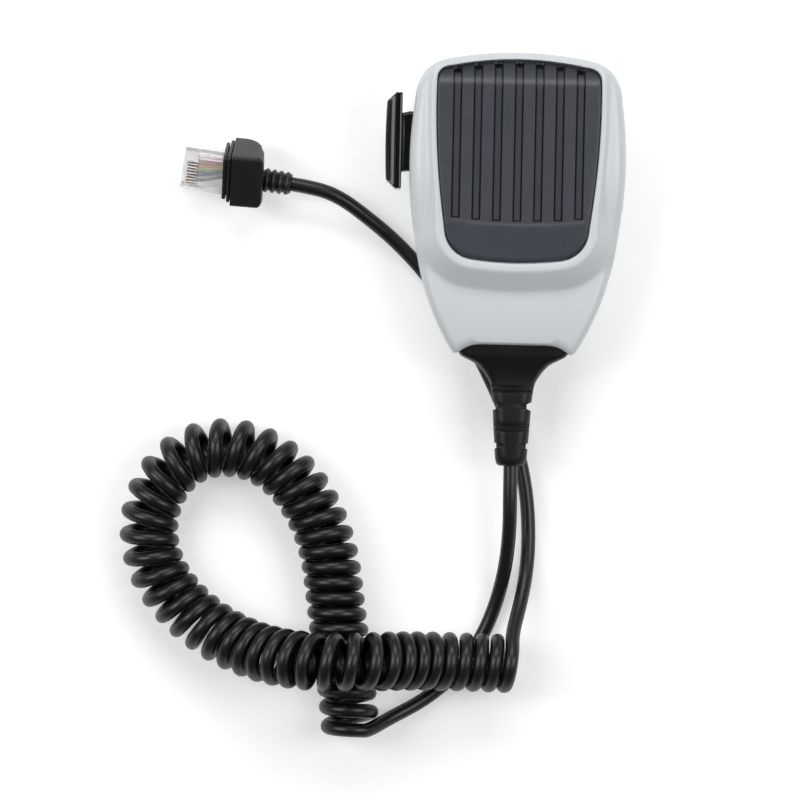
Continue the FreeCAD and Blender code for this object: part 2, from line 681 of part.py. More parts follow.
# ---- the microphone capsule -------------------------------------------------------------------

def mic_capsule():
    return pillar(CAPSULE_R, CAPSULE_AT, CAPSULE_Z)


def capsule_boot():
    """A rubber cup that holds the capsule against the grille cloth."""
    top = LEDGE_Z - 0.05
    cup = pillar(CAPSULE_BOOT_R, CAPSULE_AT, (CAPSULE_Z[0] - 1.2, top))
    cup = cup.cut(pillar(CAPSULE_R + 0.03, CAPSULE_AT, (CAPSULE_Z[0], top + 1)))
    slot = box((-2.2, 2.2), (CAPSULE_AT[1] - 1.0, CAPSULE_AT[1] + 1.0), (CAPSULE_Z[0] - 2, CAPSULE_Z[0] + 0.5))
    return cup.cut(slot)


def capsule_leads():
    z = BOARD_Z + BOARD_T
    x, y = CAPSULE_AT
    return compound([cylinder(0.3, (x + s, y, z), (x + s, y, CAPSULE_Z[0])) for s in (-1.3, 1.3)])


# ---- the cord and its boot ---------------------------------------------------------------------

def boot_section(y, half_w, low, high, round_r):
    """A rounded rectangle across the boot."""
    centres = [
        (half_w - round_r, low + round_r, -45), (half_w - round_r, high - round_r, 45),
        (-half_w + round_r, high - round_r, 135), (-half_w + round_r, low + round_r, 225),
    ]
    edges = []
    previous = None
    first = None
    for x, z, turn in centres:
        ends = []
        for angle in (turn - 45, turn, turn + 45):
            a = math.radians(angle)
            ends.append(V(x + round_r * math.cos(a), y, z + round_r * math.sin(a)))
        if previous is not None:
            edges.append(line(previous, ends[0]))
        else:
            first = ends[0]
        edges.append(arc(*ends))
        previous = ends[2]
    edges.append(line(previous, first))
    return Part.Wire(edges)


def cord_boot():
    """The flared rubber boot, with its root in the case and flex slots cut from alternate sides."""
    body = loft([boot_section(*s, BOOT_ROUNDING) for s in BOOT_SECTIONS])
    body = body.cut(prism(case_outline(0, -0.1), CREST_Z))
    root = box((-10.0, 10.0), (CASE_END_Y - 3, CASE_END_Y + 2), (BOOT_Z - 4.0, BOOT_Z + 6.0))
    solid = joined([body, root])
    cuts = [cylinder(CORD_R + 0.03, (0, CASE_END_Y + 3, BOOT_Z), (0, BOOT_END_Y - 1, BOOT_Z))]
    outside_x = 9
    outside_z = (8, 24)
    floor_x = SLOTTED_HALF_W - FLEX_SLOT_DEPTH
    for y in FACE_SLOTS_Y:
        cuts.append(box((-outside_x, outside_x), y, (SLOTTED_Z[1] - FLEX_SLOT_DEPTH, outside_z[1])))
        cuts.append(box((-outside_x, outside_x), y, (outside_z[0], SLOTTED_Z[0] + FLEX_SLOT_DEPTH)))
    for y in SIDE_SLOTS_Y:
        cuts.append(box((floor_x, outside_x), y, outside_z))
        cuts.append(box((-outside_x, -floor_x), y, outside_z))
    return solid.cut(compound(cuts))


def cord_inner_end():
    """The end of the cord inside the boot, the clamp and the case."""
    return cylinder(CORD_R, (0, CORD_TAIL_Y, BOOT_Z), (0, BOOT_END_Y, BOOT_Z))


# ---- the plug ----------------------------------------------------------------------------------
# Built with its nose at the origin, its cord leaving along +X and its contacts facing +Z.

def placed(shape):
    """A plug piece turned and moved to where the plug lies."""
    shape = shape.copy()
    shape.rotate(V(0, 0, 0), V(1, 0, 0), PLUG_ROLL)
    shape.rotate(V(0, 0, 0), V(0, 0, 1), PLUG_TURN)
    shape.translate(PLUG_NOSE)
    return shape


def contact_y(i):
    return (i - (CONTACTS - 1) / 2) * CONTACT_PITCH


def plug_body():
    half_w = PLUG_W / 2
    half_h = PLUG_H / 2
    body = box((0, PLUG_L), (-half_w, half_w), (-half_h, half_h))
    cuts = [box((CONTACT_X[1] + 0.1, PLUG_L + 1), (-4.4, 4.4), (-0.9, 0.9))]
    for i in range(CONTACTS):
        y = contact_y(i)
        cuts.append(box((CONTACT_X[0] - 0.2, CONTACT_X[1] + 0.15), (y - 0.25, y + 0.25), (-0.6, half_h + 1)))
    return placed(body.cut(compound(cuts)))


def plug_contacts():
    blades = []
    for i in range(CONTACTS):
        y = contact_y(i)
        blades.append(box(CONTACT_X, (y - CONTACT_T / 2, y + CONTACT_T / 2), (-0.5, PLUG_H / 2 - 0.35)))
    return placed(compound(blades))


def plug_wires():
    wires = [cylinder(WIRE_R, (WIRE_X[0], contact_y(i), 0), (WIRE_X[1], contact_y(i), 0)) for i in range(CONTACTS)]
    return placed(compound(wires))


def plug_latch():
    """The springy tongue under the plug, hinged at the nose."""
    x0, z0 = LATCH_PIVOT
    x1, z1 = LATCH_TIP
    half_w = LATCH_W / 2
    step_x = 6.2
    slope = (z1 - z0) / (x1 - x0)
    step_z = z0 + slope * (step_x - x0)
    corners = [
        V(x0, -half_w, z0 + LATCH_T / 2), V(x1, -half_w, z1 + LATCH_T / 2), V(x1, -half_w, z1 - LATCH_T / 2),
        V(step_x, -half_w, step_z - LATCH_T / 2), V(step_x, -half_w, step_z - 1.4),
        V(x0, -half_w, z0 - LATCH_T / 2),
    ]
    edges = [line(a, b) for a, b in zip(corners, corners[1:] + corners[:1])]
    tongue = Part.Face(Part.Wire(edges)).extrude(V(0, LATCH_W, 0))
    root = cylinder(LATCH_T / 2, (x0, -half_w, z0), (x0, half_w, z0))
    return placed(joined([tongue, root]))


def plug_hood():
    start, end = HOOD_X
    half_w = HOOD_W / 2
    half_t = HOOD_T / 2
    main_start = start + 2 * HOOD_LIP
    body = box((main_start, end), (-half_w, half_w), (-half_t, half_t))
    long_edges = [e for e in body.Edges if e.BoundBox.XLength > 5]
    body = body.makeFillet(1.5, long_edges)
    rear_edges = [
        e for e in body.Edges
        if e.BoundBox.XLength < 0.01 and abs(e.BoundBox.XMin - end) < 0.01
    ]
    body = body.makeFillet(1.4, rear_edges)
    solids = [body]
    for i in (0, 1):
        less = HOOD_LIP_STEP * (2 - i)
        lip = box(
            (start + i * HOOD_LIP, main_start + 0.5),
            (-half_w + less, half_w - less),
            (-half_t + less, half_t - less),
        )
        lip = lip.makeFillet(1.0, [e for e in lip.Edges if e.BoundBox.XLength > 1])
        solids.append(lip)
    relief_start = end - 1.0
    relief_length = RELIEF_END_X - relief_start
    core_r = [radius - RELIEF_GROOVE for radius in RELIEF_R]
    solids.append(Part.makeCone(*core_r, relief_length, V(relief_start, 0, 0), V(1, 0, 0)))
    pitch = (RELIEF_END_X - end) / RELIEF_RIBS
    for i in range(RELIEF_RIBS):
        x = RELIEF_END_X - i * pitch
        radius = RELIEF_R[1] + (RELIEF_R[0] - RELIEF_R[1]) * i / (RELIEF_RIBS - 1)
        solids.append(cylinder(radius, (x - pitch * 0.6, 0, 0), (x, 0, 0)))
    solid = joined(solids)
    gap = 0.1
    socket = box(
        (start - 1, PLUG_L + 1.5),
        (-PLUG_W / 2 - gap, PLUG_W / 2 + gap),
        (-PLUG_H / 2 - gap, PLUG_H / 2 + gap),
    )
    return placed(solid.cut(socket))


# ---- output ------------------------------------------------------------------------------------

def make_nodes():
    return {
        "front_case": front_case(),
        "rear_case": rear_case(),
        "grille": grille(),
        "grille_cloth": grille_cloth(),
        "case_screws": case_screws(),
        "hanger_stud": hanger_stud(),
        "hanger_washer": hanger_washer(),
        "hanger_screw": hanger_screw(),
        "ptt_button": ptt_button(),
        "ptt_springs": ptt_springs(),
        "ptt_switch": ptt_switch(),
        "switch_lever": switch_lever(),
        "switch_plunger": switch_plunger(),
        "circuit_board": circuit_board(),
        "board_screws": board_screws(),
        "preamp_chip": preamp_chip(),
        "board_capacitors": board_capacitors(),
        "board_resistors": board_resistors(),
        "board_connector": board_connector(),
        "hook_up_wires": hook_up_wires(),
        "cord_clamp": cord_clamp(),
        "clamp_screws": clamp_screws(),
        "mic_capsule": mic_capsule(),
        "capsule_boot": capsule_boot(),
        "capsule_leads": capsule_leads(),
        "cord_boot": cord_boot(),
        "cord_inner_end": cord_inner_end(),
        "cord_mic_lead": cord_solid(MIC_LEAD, CORD_R, "cord_mic_lead"),
        "cord_coil": cord_solid(COIL_AXIS, COIL_R, "cord_coil"),
        "cord_plug_lead": cord_solid(PLUG_LEAD, CORD_R, "cord_plug_lead"),
        "plug_body": plug_body(),
        "plug_contacts": plug_contacts(),
        "plug_wires": plug_wires(),
        "plug_latch": plug_latch(),
        "plug_hood": plug_hood(),
    }


os.makedirs("parts", exist_ok=True)
for name, shape in make_nodes().items():
    good = shape.isValid() and len(shape.Solids) > 0
    print(name, "solids", len(shape.Solids), "volume", round(shape.Volume, 1), "" if good else "BAD")
    shape.exportStep("parts/" + name + ".step")
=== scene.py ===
import json
import math

import bmesh
import bpy
from mathutils import Matrix, Vector


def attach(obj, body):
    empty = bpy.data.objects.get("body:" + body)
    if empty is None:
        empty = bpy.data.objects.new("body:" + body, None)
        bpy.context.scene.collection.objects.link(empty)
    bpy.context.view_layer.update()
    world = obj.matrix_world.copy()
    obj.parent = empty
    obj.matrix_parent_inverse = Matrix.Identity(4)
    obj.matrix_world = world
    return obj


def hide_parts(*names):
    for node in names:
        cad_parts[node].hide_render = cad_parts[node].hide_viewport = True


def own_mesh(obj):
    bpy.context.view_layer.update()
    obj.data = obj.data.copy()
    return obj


# The hand microphone's looks. Lengths are millimetres, turned into metres by MM where meshes are made.
# The cord's routes, the lights and the camera are in metres.

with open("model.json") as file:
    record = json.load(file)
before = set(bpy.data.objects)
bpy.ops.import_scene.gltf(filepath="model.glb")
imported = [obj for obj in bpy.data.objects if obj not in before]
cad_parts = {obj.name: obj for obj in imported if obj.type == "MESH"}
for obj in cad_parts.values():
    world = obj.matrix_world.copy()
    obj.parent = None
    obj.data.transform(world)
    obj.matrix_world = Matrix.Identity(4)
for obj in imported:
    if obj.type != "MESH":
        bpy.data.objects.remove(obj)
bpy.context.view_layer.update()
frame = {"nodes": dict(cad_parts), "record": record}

MM = 0.001

# ---- sizes -------------------------------------------------------------------------------

# case: the outline at the parting line, right-hand side from the top centre, as arcs and lines
CASE_SPANS = [
    ((0, 42.8), (11.25, 42.2), (22.5, 40.4)),
    ((22.5, 40.4), (29.5, 36.2), (32.3, 28.0)),
    ((32.3, 28.0), (33.8, 7.0), (31.4, -17.0)),
    ((31.4, -17.0), (27.2, -34.4), (18.8, -51.6)),
    ((18.8, -51.6), (17.5, -51.4)),
    ((17.5, -51.4), (14.8, -49.5), (11.5, -48.6)),
    ((11.5, -48.6), (0, -48.6)),
]
CASE_POINTS = 420
CASE_CENTRE_Y = -4.4
CASE_HALF_W = 33.8
CASE_HALF_L = 47.2
PARTING_Z = 19.0
BACK_Z = 7.0
CREST_Z = 34.0
LOW_EDGE_Z = 24.8
LOW_FACE_Z = 28.2
HEAD_EDGE_Z = 28.4
HEAD_FACE_Z = 32.7
HEAD_RISE_Y = (-26.0, 7.0)
# the rim round the grille, at the head and at the low end: its crest's width and its outer slope
RIM_W = (1.35, 2.5)
RIM_SLOPE = (1.3, 0.95)
RIM_LEAN = 0.18
WALL = 2.0
SEAM = 0.14
PARTING_GAP = 0.03
LEDGE_BELOW_CREST = 4.0
SCREW_RECESSES = [(24.5, 31.5), (-24.5, 31.5), (20.0, -38.0), (-20.0, -38.0)]
RECESS_R = 2.6

# grille
GRILLE_SPANS = [
    ((0, 40.3), (10.7, 39.7), (21.4, 37.9)),
    ((21.4, 37.9), (24.4, 36.7), (25.4, 34.2)),
    ((25.4, 34.2), (25.1, 13.0), (22.3, -12.5)),
    ((22.3, -12.5), (20.3, -18.3), (14.4, -21.9)),
    ((14.4, -21.9), (7.2, -22.65), (0, -22.9)),
]
GRILLE_POINTS = 360
GRILLE_CENTRE_Y = 9.0
GRILLE_HALF_W = 25.4
GRILLE_HALF_L = 31.8
GRILLE_FACE_Z = 33.2
GRILLE_GAP = 0.35
GRILLE_T = 2.6
GRILLE_CORE = GRILLE_HALF_W - 1.2
CLOTH_GAP = 0.05
CLOTH_T = 0.45
GROOVES = 7
GROOVE_PITCH = 6.4
GROOVE_W = 2.7
GROOVE_DEPTH = 0.85
GROOVE_END_Y = -10.3
GROOVE_END_RISE = 0.11
GROOVE_CHAMFER = 0.12
EDGE_LINE_W = 0.45
EDGE_LINE_DEPTH = 2.2
RIDGE_RISE = 0.28
RIDGE_END = 1.6
PORT_SIZE = (2.4, 2.1)
PORT_RIM = 0.12

# how far the grille's top end dips below the case's rim, and where
GRILLE_DIP = 2.15
DIP_Y = (32.2, 40.3)

# the top end rolls down from this line, round this radius
ROLL_START_Y = 31.0
ROLL_RADIUS = 14.5

# push-to-talk button
PTT_Z = 19.5
PADDLE_Y = (-0.3, 29.7)
PADDLE_OUTER_X = -41.5
PADDLE_CHAMFER = 2.8
PADDLE_BULGE = 0.5
NECK_Y = (5.3, 24.0)
NECK_HALF_H = 5.0
NECK_GAP = 0.35
FLANGE_X = (-30.2, -28.9)
FLANGE_Y = (3.0, 26.4)
FLANGE_Z = (13.2, 25.6)
RIB_Y = 12.0
RIB_TIP_X = -26.35
RIB_Z = 20.5
RIB_HALF = 1.5
RIB_NOSE_R = 1.2
SPRING_X = (-28.8, -24.3)
SPRING_Y = (5.2, 24.2)
SPRING_R = 1.6
SPRING_WIRE_R = 0.22
SPRING_TURNS = 4

# half of the paddle's section, from the middle of its outer face to its back: (x, height above the middle)
PADDLE_SECTION = [
    (-41.5, 0.0), (-41.5, 3.0), (-41.48, 5.6), (-41.35, 6.3), (-41.0, 6.65), (-40.0, 6.8), (-39.0, 6.9),
    (-38.75, 7.0), (-38.6, 7.3), (-38.35, 7.47), (-38.1, 7.3), (-38.0, 6.9), (-37.8, 6.75), (-37.3, 6.8),
    (-37.15, 7.1), (-36.95, 7.3), (-36.6, 7.2), (-36.35, 6.9), (-36.3, 6.5),
]

# the stem's sections where it meets the paddle: x, its two ends along Y, and half its height
NECK_ROOT = [
    (-36.9, 4.3, 23.3, 5.6), (-36.4, 4.7, 23.4, 5.35),
    (-36.05, 5.1, 23.5, 5.15), (-35.2, 5.2, 23.7, 5.05),
]

# cord and boot
CORD_R = 2.25
BOOT_Z = 15.5
BOOT_SLOTS_Y = [(-63.6, -61.2), (-75.8, -73.3)]
BOOT_NOTCHES_Y = [(-68.9, -66.6), (-81.4, -79.1)]
SLOT_FLOOR = 3.9
SLOT_LINE_W = 0.6
SLOT_LINE_FLOOR = 2.7
COIL_MEAN_R = 7.1
TURN_POINTS = 14
LOOSE_PITCH = 4.95
INNER_PITCH = 4.75
END_PITCH = 6.3
END_STRETCH = 0.014

# the boot's sections: y, half its width, its lowest and highest z, and the radius of its corners
BOOT_SECTIONS = [
    (-47.4, 18.0, 9.0, 24.6, 2.2), (-49.4, 17.6, 9.1, 24.5, 2.2), (-51.8, 16.6, 9.2, 24.2, 2.4),
    (-53.2, 14.2, 9.4, 23.6, 2.6), (-54.5, 11.7, 9.6, 22.9, 2.8), (-56.0, 10.1, 9.8, 22.3, 3.0),
    (-58.0, 8.5, 10.0, 21.7, 3.2), (-61.0, 6.95, 10.0, 21.2, 3.4), (-66.0, 6.2, 10.0, 21.0, 3.6),
    (-72.0, 5.8, 10.1, 20.9, 3.7), (-78.0, 5.4, 10.3, 20.7, 3.8), (-83.6, 5.0, 10.6, 20.4, 3.9),
    (-85.6, 4.6, 11.0, 20.0, 4.2), (-86.3, 4.0, 11.7, 19.3, 3.8), (-86.5, 3.3, 12.4, 18.6, 3.2),
]

# plug, in its own frame: nose at the origin, cord leaving along +X, contacts facing +Z
PLUG_NOSE = (-105.7, 5.6, 10.1)
PLUG_TURN = math.radians(-7.7)
PLUG_ROLL = math.radians(28.0)
PLUG_SIZE = (21.5, 11.68, 6.5)
CONTACTS = 8
CONTACT_PITCH = 1.02
NOSE_X = 0.6
CONTACT_X = (2.1, 5.0)
HOOD_X = (13.5, 26.4)
HOOD_HALF_W = 8.85
HOOD_HALF_T = 7.4
HOOD_SKEW = math.radians(4.5)
HOOD_SHIFT = 1.5
RELIEF_END_X = 35.1
RELIEF_RIBS = 4
WIRE_R = 0.43
WIRE_SHADES = [
    (116, 96, 84), (196, 202, 206), (66, 92, 128), (92, 130, 92), (180, 190, 96), (222, 158, 66),
    (214, 104, 78), (186, 108, 128),
]

# the cord's routes, in metres: the free lead from the boot, the coil's axis and the lead to the plug
MIC_LEAD = [
    (0.0, -0.0865, 0.0155), (0.0, -0.0955, 0.0155), (0.0002, -0.106, 0.0131), (-0.0006, -0.1175, 0.0082),
    (-0.0031, -0.1295, 0.004), (-0.0077, -0.1413, 0.0023), (-0.0152, -0.1526, 0.0023),
    (-0.0256, -0.1614, 0.0039), (-0.0364, -0.167, 0.0082),
]
COIL_AXIS = [
    (-0.0484, -0.1733, 0.00935), (-0.05, -0.1575, 0.00935), (-0.0526, -0.1425, 0.00935),
    (-0.0544, -0.129, 0.00935), (-0.0564, -0.115, 0.00935), (-0.0608, -0.103, 0.00935),
    (-0.0676, -0.0926, 0.00935), (-0.0774, -0.0849, 0.00935), (-0.0892, -0.0819, 0.00935),
    (-0.1014, -0.0847, 0.00935), (-0.1104, -0.0938, 0.00935), (-0.1142, -0.1065, 0.00935),
    (-0.1122, -0.1193, 0.00935), (-0.1052, -0.1304, 0.00935), (-0.0944, -0.1396, 0.0105),
    (-0.082, -0.1456, 0.0155), (-0.0705, -0.1482, 0.0228), (-0.0585, -0.1489, 0.0287),
    (-0.0455, -0.1486, 0.0287), (-0.0335, -0.1482, 0.0226), (-0.0215, -0.1483, 0.0164),
    (-0.0095, -0.1486, 0.0143), (0.0027, -0.1488, 0.0136),
]
PLUG_LEAD = [
    (0.0017, -0.139, 0.0154), (0.0043, -0.1295, 0.0086), (0.0062, -0.1185, 0.0035),
    (0.0065, -0.106, 0.0023), (0.005, -0.0915, 0.0023), (0.0004, -0.0745, 0.0023),
    (-0.0076, -0.057, 0.0023), (-0.017, -0.0405, 0.0023), (-0.0278, -0.0262, 0.0023),
    (-0.0378, -0.016, 0.0032), (-0.0468, -0.0089, 0.0058), (-0.0552, -0.003, 0.0089),
    (-0.063, -0.00017, 0.0101), (-0.0709, 0.0009, 0.0101),
]
COIL_START = 0.0018
COIL_END = 0.0024
FIRST_PHASE = math.radians(-50)
LAST_PHASE = math.radians(40)

# soft boxes: name, place, width and height, watts
LIGHTS = [
    ("left", (-0.85, 0.1, 1.0), (0.5, 0.9), 7.8),
    ("right", (0.8, 0.0, 1.0), (0.5, 0.9), 6.8),
    ("top", (-0.05, 0.9, 0.9), (1.0, 0.45), 7.2),
]
LIGHT_AIM = (-0.035, -0.06, 0)
CAMERA_AT = (-0.0352, -0.0665, 1.8)
CAMERA_LENS = 255.3
CAMERA_ROLL = math.radians(1.2)


# ---- helpers -----------------------------------------------------------------------------

def smoothstep(value, low, high):
    share = min(1.0, max(0.0, (value - low) / (high - low)))
    return share * share * (3 - 2 * share)


def mix(a, b, share):
    return a + (b - a) * share


def smooth_max(a, b, reach):
    """The larger of two heights, with a fillet where they cross."""
    overlap = max(reach - abs(a - b), 0) / reach
    return max(a, b) + overlap * overlap * reach / 4


def new_piece(name, points, faces):
    """A mesh piece from points in millimetres."""
    mesh = bpy.data.meshes.new(name)
    mesh.from_pydata([Vector(p) * MM for p in points], [], faces)
    piece = bpy.data.objects.new(name, mesh)
    bpy.context.scene.collection.objects.link(piece)
    return piece


def skin(name, rings, joined=False):
    """A closed piece over rings of equal size: capped at both ends, or joined last ring to first."""
    size = len(rings[0])
    points = [p for ring in rings for p in ring]
    faces = []
    pairs = len(rings) if joined else len(rings) - 1
    for k in range(pairs):
        here = k * size
        there = (k + 1) % len(rings) * size
        for i in range(size):
            j = (i + 1) % size
            faces.append((here + i, here + j, there + j, there + i))
    if not joined:
        faces.append(tuple(range(size)))
        faces.append(tuple(range(len(points) - size, len(points))))
    return new_piece(name, points, faces)


def block(name, x, y, z):
    """A box between pairs of coordinates."""
    rings = [[(x[0], y[0], h), (x[1], y[0], h), (x[1], y[1], h), (x[0], y[1], h)] for h in z]
    return skin(name, rings)


def rod(name, start, end, radius, sides=32):
    """A round bar, used as a cutting tool."""
    a = Vector(start)
    along = (Vector(end) - a).normalized()
    across = along.orthogonal().normalized()
    other = along.cross(across)
    rings = []
    for centre in (a, Vector(end)):
        angles = [2 * math.pi * i / sides for i in range(sides)]
        rings.append([centre + (across * math.cos(t) + other * math.sin(t)) * radius for t in angles])
    return skin(name, rings)


def merged(name, pieces):
    """Several meshes as one."""
    whole = bmesh.new()
    for piece in pieces:
        whole.from_mesh(piece.data)
        bpy.data.objects.remove(piece)
    mesh = bpy.data.meshes.new(name)
    whole.to_mesh(mesh)
    whole.free()
    result = bpy.data.objects.new(name, mesh)
    bpy.context.scene.collection.objects.link(result)
    return result


def settle(piece):
    """Turns a piece's modifiers into its own mesh."""
    graph = bpy.context.evaluated_depsgraph_get()
    mesh = bpy.data.meshes.new_from_object(piece.evaluated_get(graph))
    piece.modifiers.clear()
    piece.data = mesh


def face_outwards(piece):
    edit = bmesh.new()
    edit.from_mesh(piece.data)
    bmesh.ops.recalc_face_normals(edit, faces=edit.faces)
    edit.to_mesh(piece.data)
    edit.free()


def combine(piece, tool, operation):
    """Joins or cuts a piece with another closed mesh, which is used up."""
    face_outwards(piece)
    face_outwards(tool)
    change = piece.modifiers.new("combine", "BOOLEAN")
    change.operation = operation
    change.solver = "EXACT"
    change.object = tool
    settle(piece)
    bpy.data.objects.remove(tool)


def bevel(piece, width, segments=2, degrees=35):
    """Rounds a piece's sharp edges."""
    face_outwards(piece)
    change = piece.modifiers.new("bevel", "BEVEL")
    change.width = width * MM
    change.segments = segments
    change.limit_method = "ANGLE"
    change.angle_limit = math.radians(degrees)
    settle(piece)


def drop_flaps(edit):
    """Removes faces of no area, and pairs of faces that lie on each other, which a cut can leave."""
    bmesh.ops.remove_doubles(edit, verts=edit.verts, dist=2e-6)
    bmesh.ops.dissolve_degenerate(edit, edges=edit.edges, dist=2e-6)
    many_sided = [face for face in edit.faces if len(face.verts) > 4]
    bmesh.ops.triangulate(edit, faces=many_sided)
    by_corners = {}
    for face in edit.faces:
        by_corners.setdefault(frozenset(face.verts), []).append(face)
    flaps = [face for faces in by_corners.values() if len(faces) > 1 for face in faces]
    bmesh.ops.delete(edit, geom=flaps, context="FACES")


def dress(piece, material, body, nodes, sharp=38):
    """Smooth shading between soft edges, one material, and the piece's place in the frame."""
    edit = bmesh.new()
    edit.from_mesh(piece.data)
    drop_flaps(edit)
    bmesh.ops.recalc_face_normals(edit, faces=edit.faces)
    for face in edit.faces:
        face.smooth = True
        face.material_index = 0
    for edge in edit.edges:
        if len(edge.link_faces) == 2:
            edge.smooth = edge.calc_face_angle() < math.radians(sharp)
    edit.to_mesh(piece.data)
    edit.free()
    piece.data.materials.clear()
    piece.data.materials.append(material)
    place(piece, body, nodes)
    return piece


def place(piece, body, nodes):
    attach(piece, body)
    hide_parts(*nodes)


# ---- outlines ------------------------------------------------------------------------------

def through(a, middle, b, steps):
    """Points along the arc from a through middle to b, without b itself."""
    ax, ay = a
    bx, by = middle
    cx, cy = b
    twice = 2 * (ax * (by - cy) + bx * (cy - ay) + cx * (ay - by))
    a2, b2, c2 = ax * ax + ay * ay, bx * bx + by * by, cx * cx + cy * cy
    ox = (a2 * (by - cy) + b2 * (cy - ay) + c2 * (ay - by)) / twice
    oy = (a2 * (cx - bx) + b2 * (ax - cx) + c2 * (bx - ax)) / twice
    radius = math.hypot(ax - ox, ay - oy)
    start = math.atan2(ay - oy, ax - ox)
    sweep = math.atan2(cy - oy, cx - ox) - start
    if twice > 0:
        sweep %= 2 * math.pi
    else:
        sweep = -(-sweep % (2 * math.pi))
    angles = [start + sweep * i / steps for i in range(steps)]
    return [(ox + radius * math.cos(t), oy + radius * math.sin(t)) for t in angles]


def evenly(loop, count):
    """A closed loop's points, evenly spaced."""
    lengths = [0.0]
    closed = loop + loop[:1]
    for a, b in zip(closed, closed[1:]):
        lengths.append(lengths[-1] + math.dist(a, b))
    points = []
    k = 0
    for i in range(count):
        target = lengths[-1] * i / count
        while lengths[k + 1] < target:
            k += 1
        share = (target - lengths[k]) / (lengths[k + 1] - lengths[k])
        a, b = closed[k], closed[k + 1]
        points.append((mix(a[0], b[0], share), mix(a[1], b[1], share)))
    return points


def outline(spans, count, passes):
    """A symmetrical outline from its right-hand spans, eased where they join."""
    right = []
    for span in spans:
        if len(span) == 3:
            right += through(*span, 24)
        else:
            right.append(span[0])
    right.append(spans[-1][-1])
    left = [(-x, y) for x, y in reversed(right[1:-1])]
    loop = evenly(right + left, count)
    for _ in range(passes):
        loop = [
            ((loop[i - 1][0] + 2 * p[0] + loop[(i + 1) % count][0]) / 4,
             (loop[i - 1][1] + 2 * p[1] + loop[(i + 1) % count][1]) / 4)
            for i, p in enumerate(loop)
        ]
    return loop


def nearest(point, loop):
    """The point of a loop nearest to a point."""
    best = None
    x, y = point
    for a, b in zip(loop, loop[1:] + loop[:1]):
        dx, dy = b[0] - a[0], b[1] - a[1]
        share = ((x - a[0]) * dx + (y - a[1]) * dy) / (dx * dx + dy * dy)
        share = min(1.0, max(0.0, share))
        near = (a[0] + dx * share, a[1] + dy * share)
        away = (x - near[0]) ** 2 + (y - near[1]) ** 2
        if best is None or away < best[0]:
            best = (away, near)
    return best[1]


def scaled(loop, centre_y, half_w, half_l, inset):
    """A loop moved inwards by inset at its widest places."""
    kx = (half_w - inset) / half_w
    ky = (half_l - inset) / half_l
    return [(x * kx, centre_y + (y - centre_y) * ky) for x, y in loop]


def drop(y):
    """How far the front has rolled down at y, near the top end."""
    past = min(max(y - ROLL_START_Y, 0.0), ROLL_RADIUS * 0.95)
    return ROLL_RADIUS - math.sqrt(ROLL_RADIUS ** 2 - past ** 2)


def grille_dip(y):
    return GRILLE_DIP * smoothstep(y, *DIP_Y)


# ---- materials -----------------------------------------------------------------------------

def shade(red, green, blue):
    """A colour given as seen, 0 to 255, in the renderer's linear units."""
    values = []
    for part in (red, green, blue):
        share = part / 255
        values.append(share / 12.92 if share <= 0.04045 else ((share + 0.055) / 1.055) ** 2.4)
    return (*values, 1.0)


def surface(
    name, colour, roughness, grain=0.2, depth=0.01, patch=9.0, spread=0.06, rough_spread=0.06, **sockets
):
    """A moulded or machined surface: fine grain in its relief, slow patches in its colour and roughness."""
    material = bpy.data.materials.new(name)
    material.use_nodes = True
    nodes = material.node_tree.nodes
    links = material.node_tree.links
    shader = nodes["Principled BSDF"]
    where = nodes.new("ShaderNodeTexCoord")

    fine = nodes.new("ShaderNodeTexNoise")
    fine.inputs["Scale"].default_value = 1 / (grain * MM)
    fine.inputs["Detail"].default_value = 3
    links.new(where.outputs["Object"], fine.inputs["Vector"])
    relief = nodes.new("ShaderNodeBump")
    relief.inputs["Strength"].default_value = 1
    relief.inputs["Distance"].default_value = depth * MM
    links.new(fine.outputs["Fac"], relief.inputs["Height"])
    links.new(relief.outputs["Normal"], shader.inputs["Normal"])

    slow = nodes.new("ShaderNodeTexNoise")
    slow.inputs["Scale"].default_value = 1 / (patch * MM)
    slow.inputs["Detail"].default_value = 4
    links.new(where.outputs["Object"], slow.inputs["Vector"])
    tint = nodes.new("ShaderNodeMix")
    tint.data_type = "RGBA"
    tint.inputs["A"].default_value = (*[c * (1 - spread) for c in colour[:3]], 1)
    tint.inputs["B"].default_value = (*[min(1, c * (1 + spread)) for c in colour[:3]], 1)
    links.new(slow.outputs["Fac"], tint.inputs["Factor"])
    links.new(tint.outputs["Result"], shader.inputs["Base Color"])
    worn = nodes.new("ShaderNodeMapRange")
    worn.inputs["To Min"].default_value = roughness - rough_spread
    worn.inputs["To Max"].default_value = roughness + rough_spread
    links.new(slow.outputs["Fac"], worn.inputs["Value"])
    links.new(worn.outputs["Result"], shader.inputs["Roughness"])

    for socket, value in sockets.items():
        shader.inputs[socket.replace("_", " ")].default_value = value
    return material


def metal(name, colour, roughness, grain=0.1, depth=0.004):
    return surface(name, shade(*colour), roughness, grain, depth, Metallic=1.0)


def rubber(name, colour, roughness, grain, specular=0.5):
    return surface(name, shade(*colour), roughness, grain, 0.02, spread=0.12, Specular_IOR_Level=specular)


def textured_plastic(name, colour, roughness, depth):
    """The grille's coarse moulded texture."""
    return surface(name, shade(*colour), roughness, 0.3, depth, spread=0.1)


def glossy_plastic(name, colour):
    return surface(name, shade(*colour), 0.15, 0.3, 0.001, Specular_IOR_Level=0.4)


def cord_jacket(name, colour):
    """Smooth PVC, a little duller in some stretches than in others."""
    return surface(name, shade(*colour), 0.37, 0.5, 0.01, patch=15, spread=0.15, Specular_IOR_Level=0.48)


def clear_plastic(name):
    return surface(
        name, (0.97, 0.975, 0.985, 1), 0.12, 0.8, 0.004, spread=0.02, Transmission_Weight=0.82, IOR=1.25,
    )


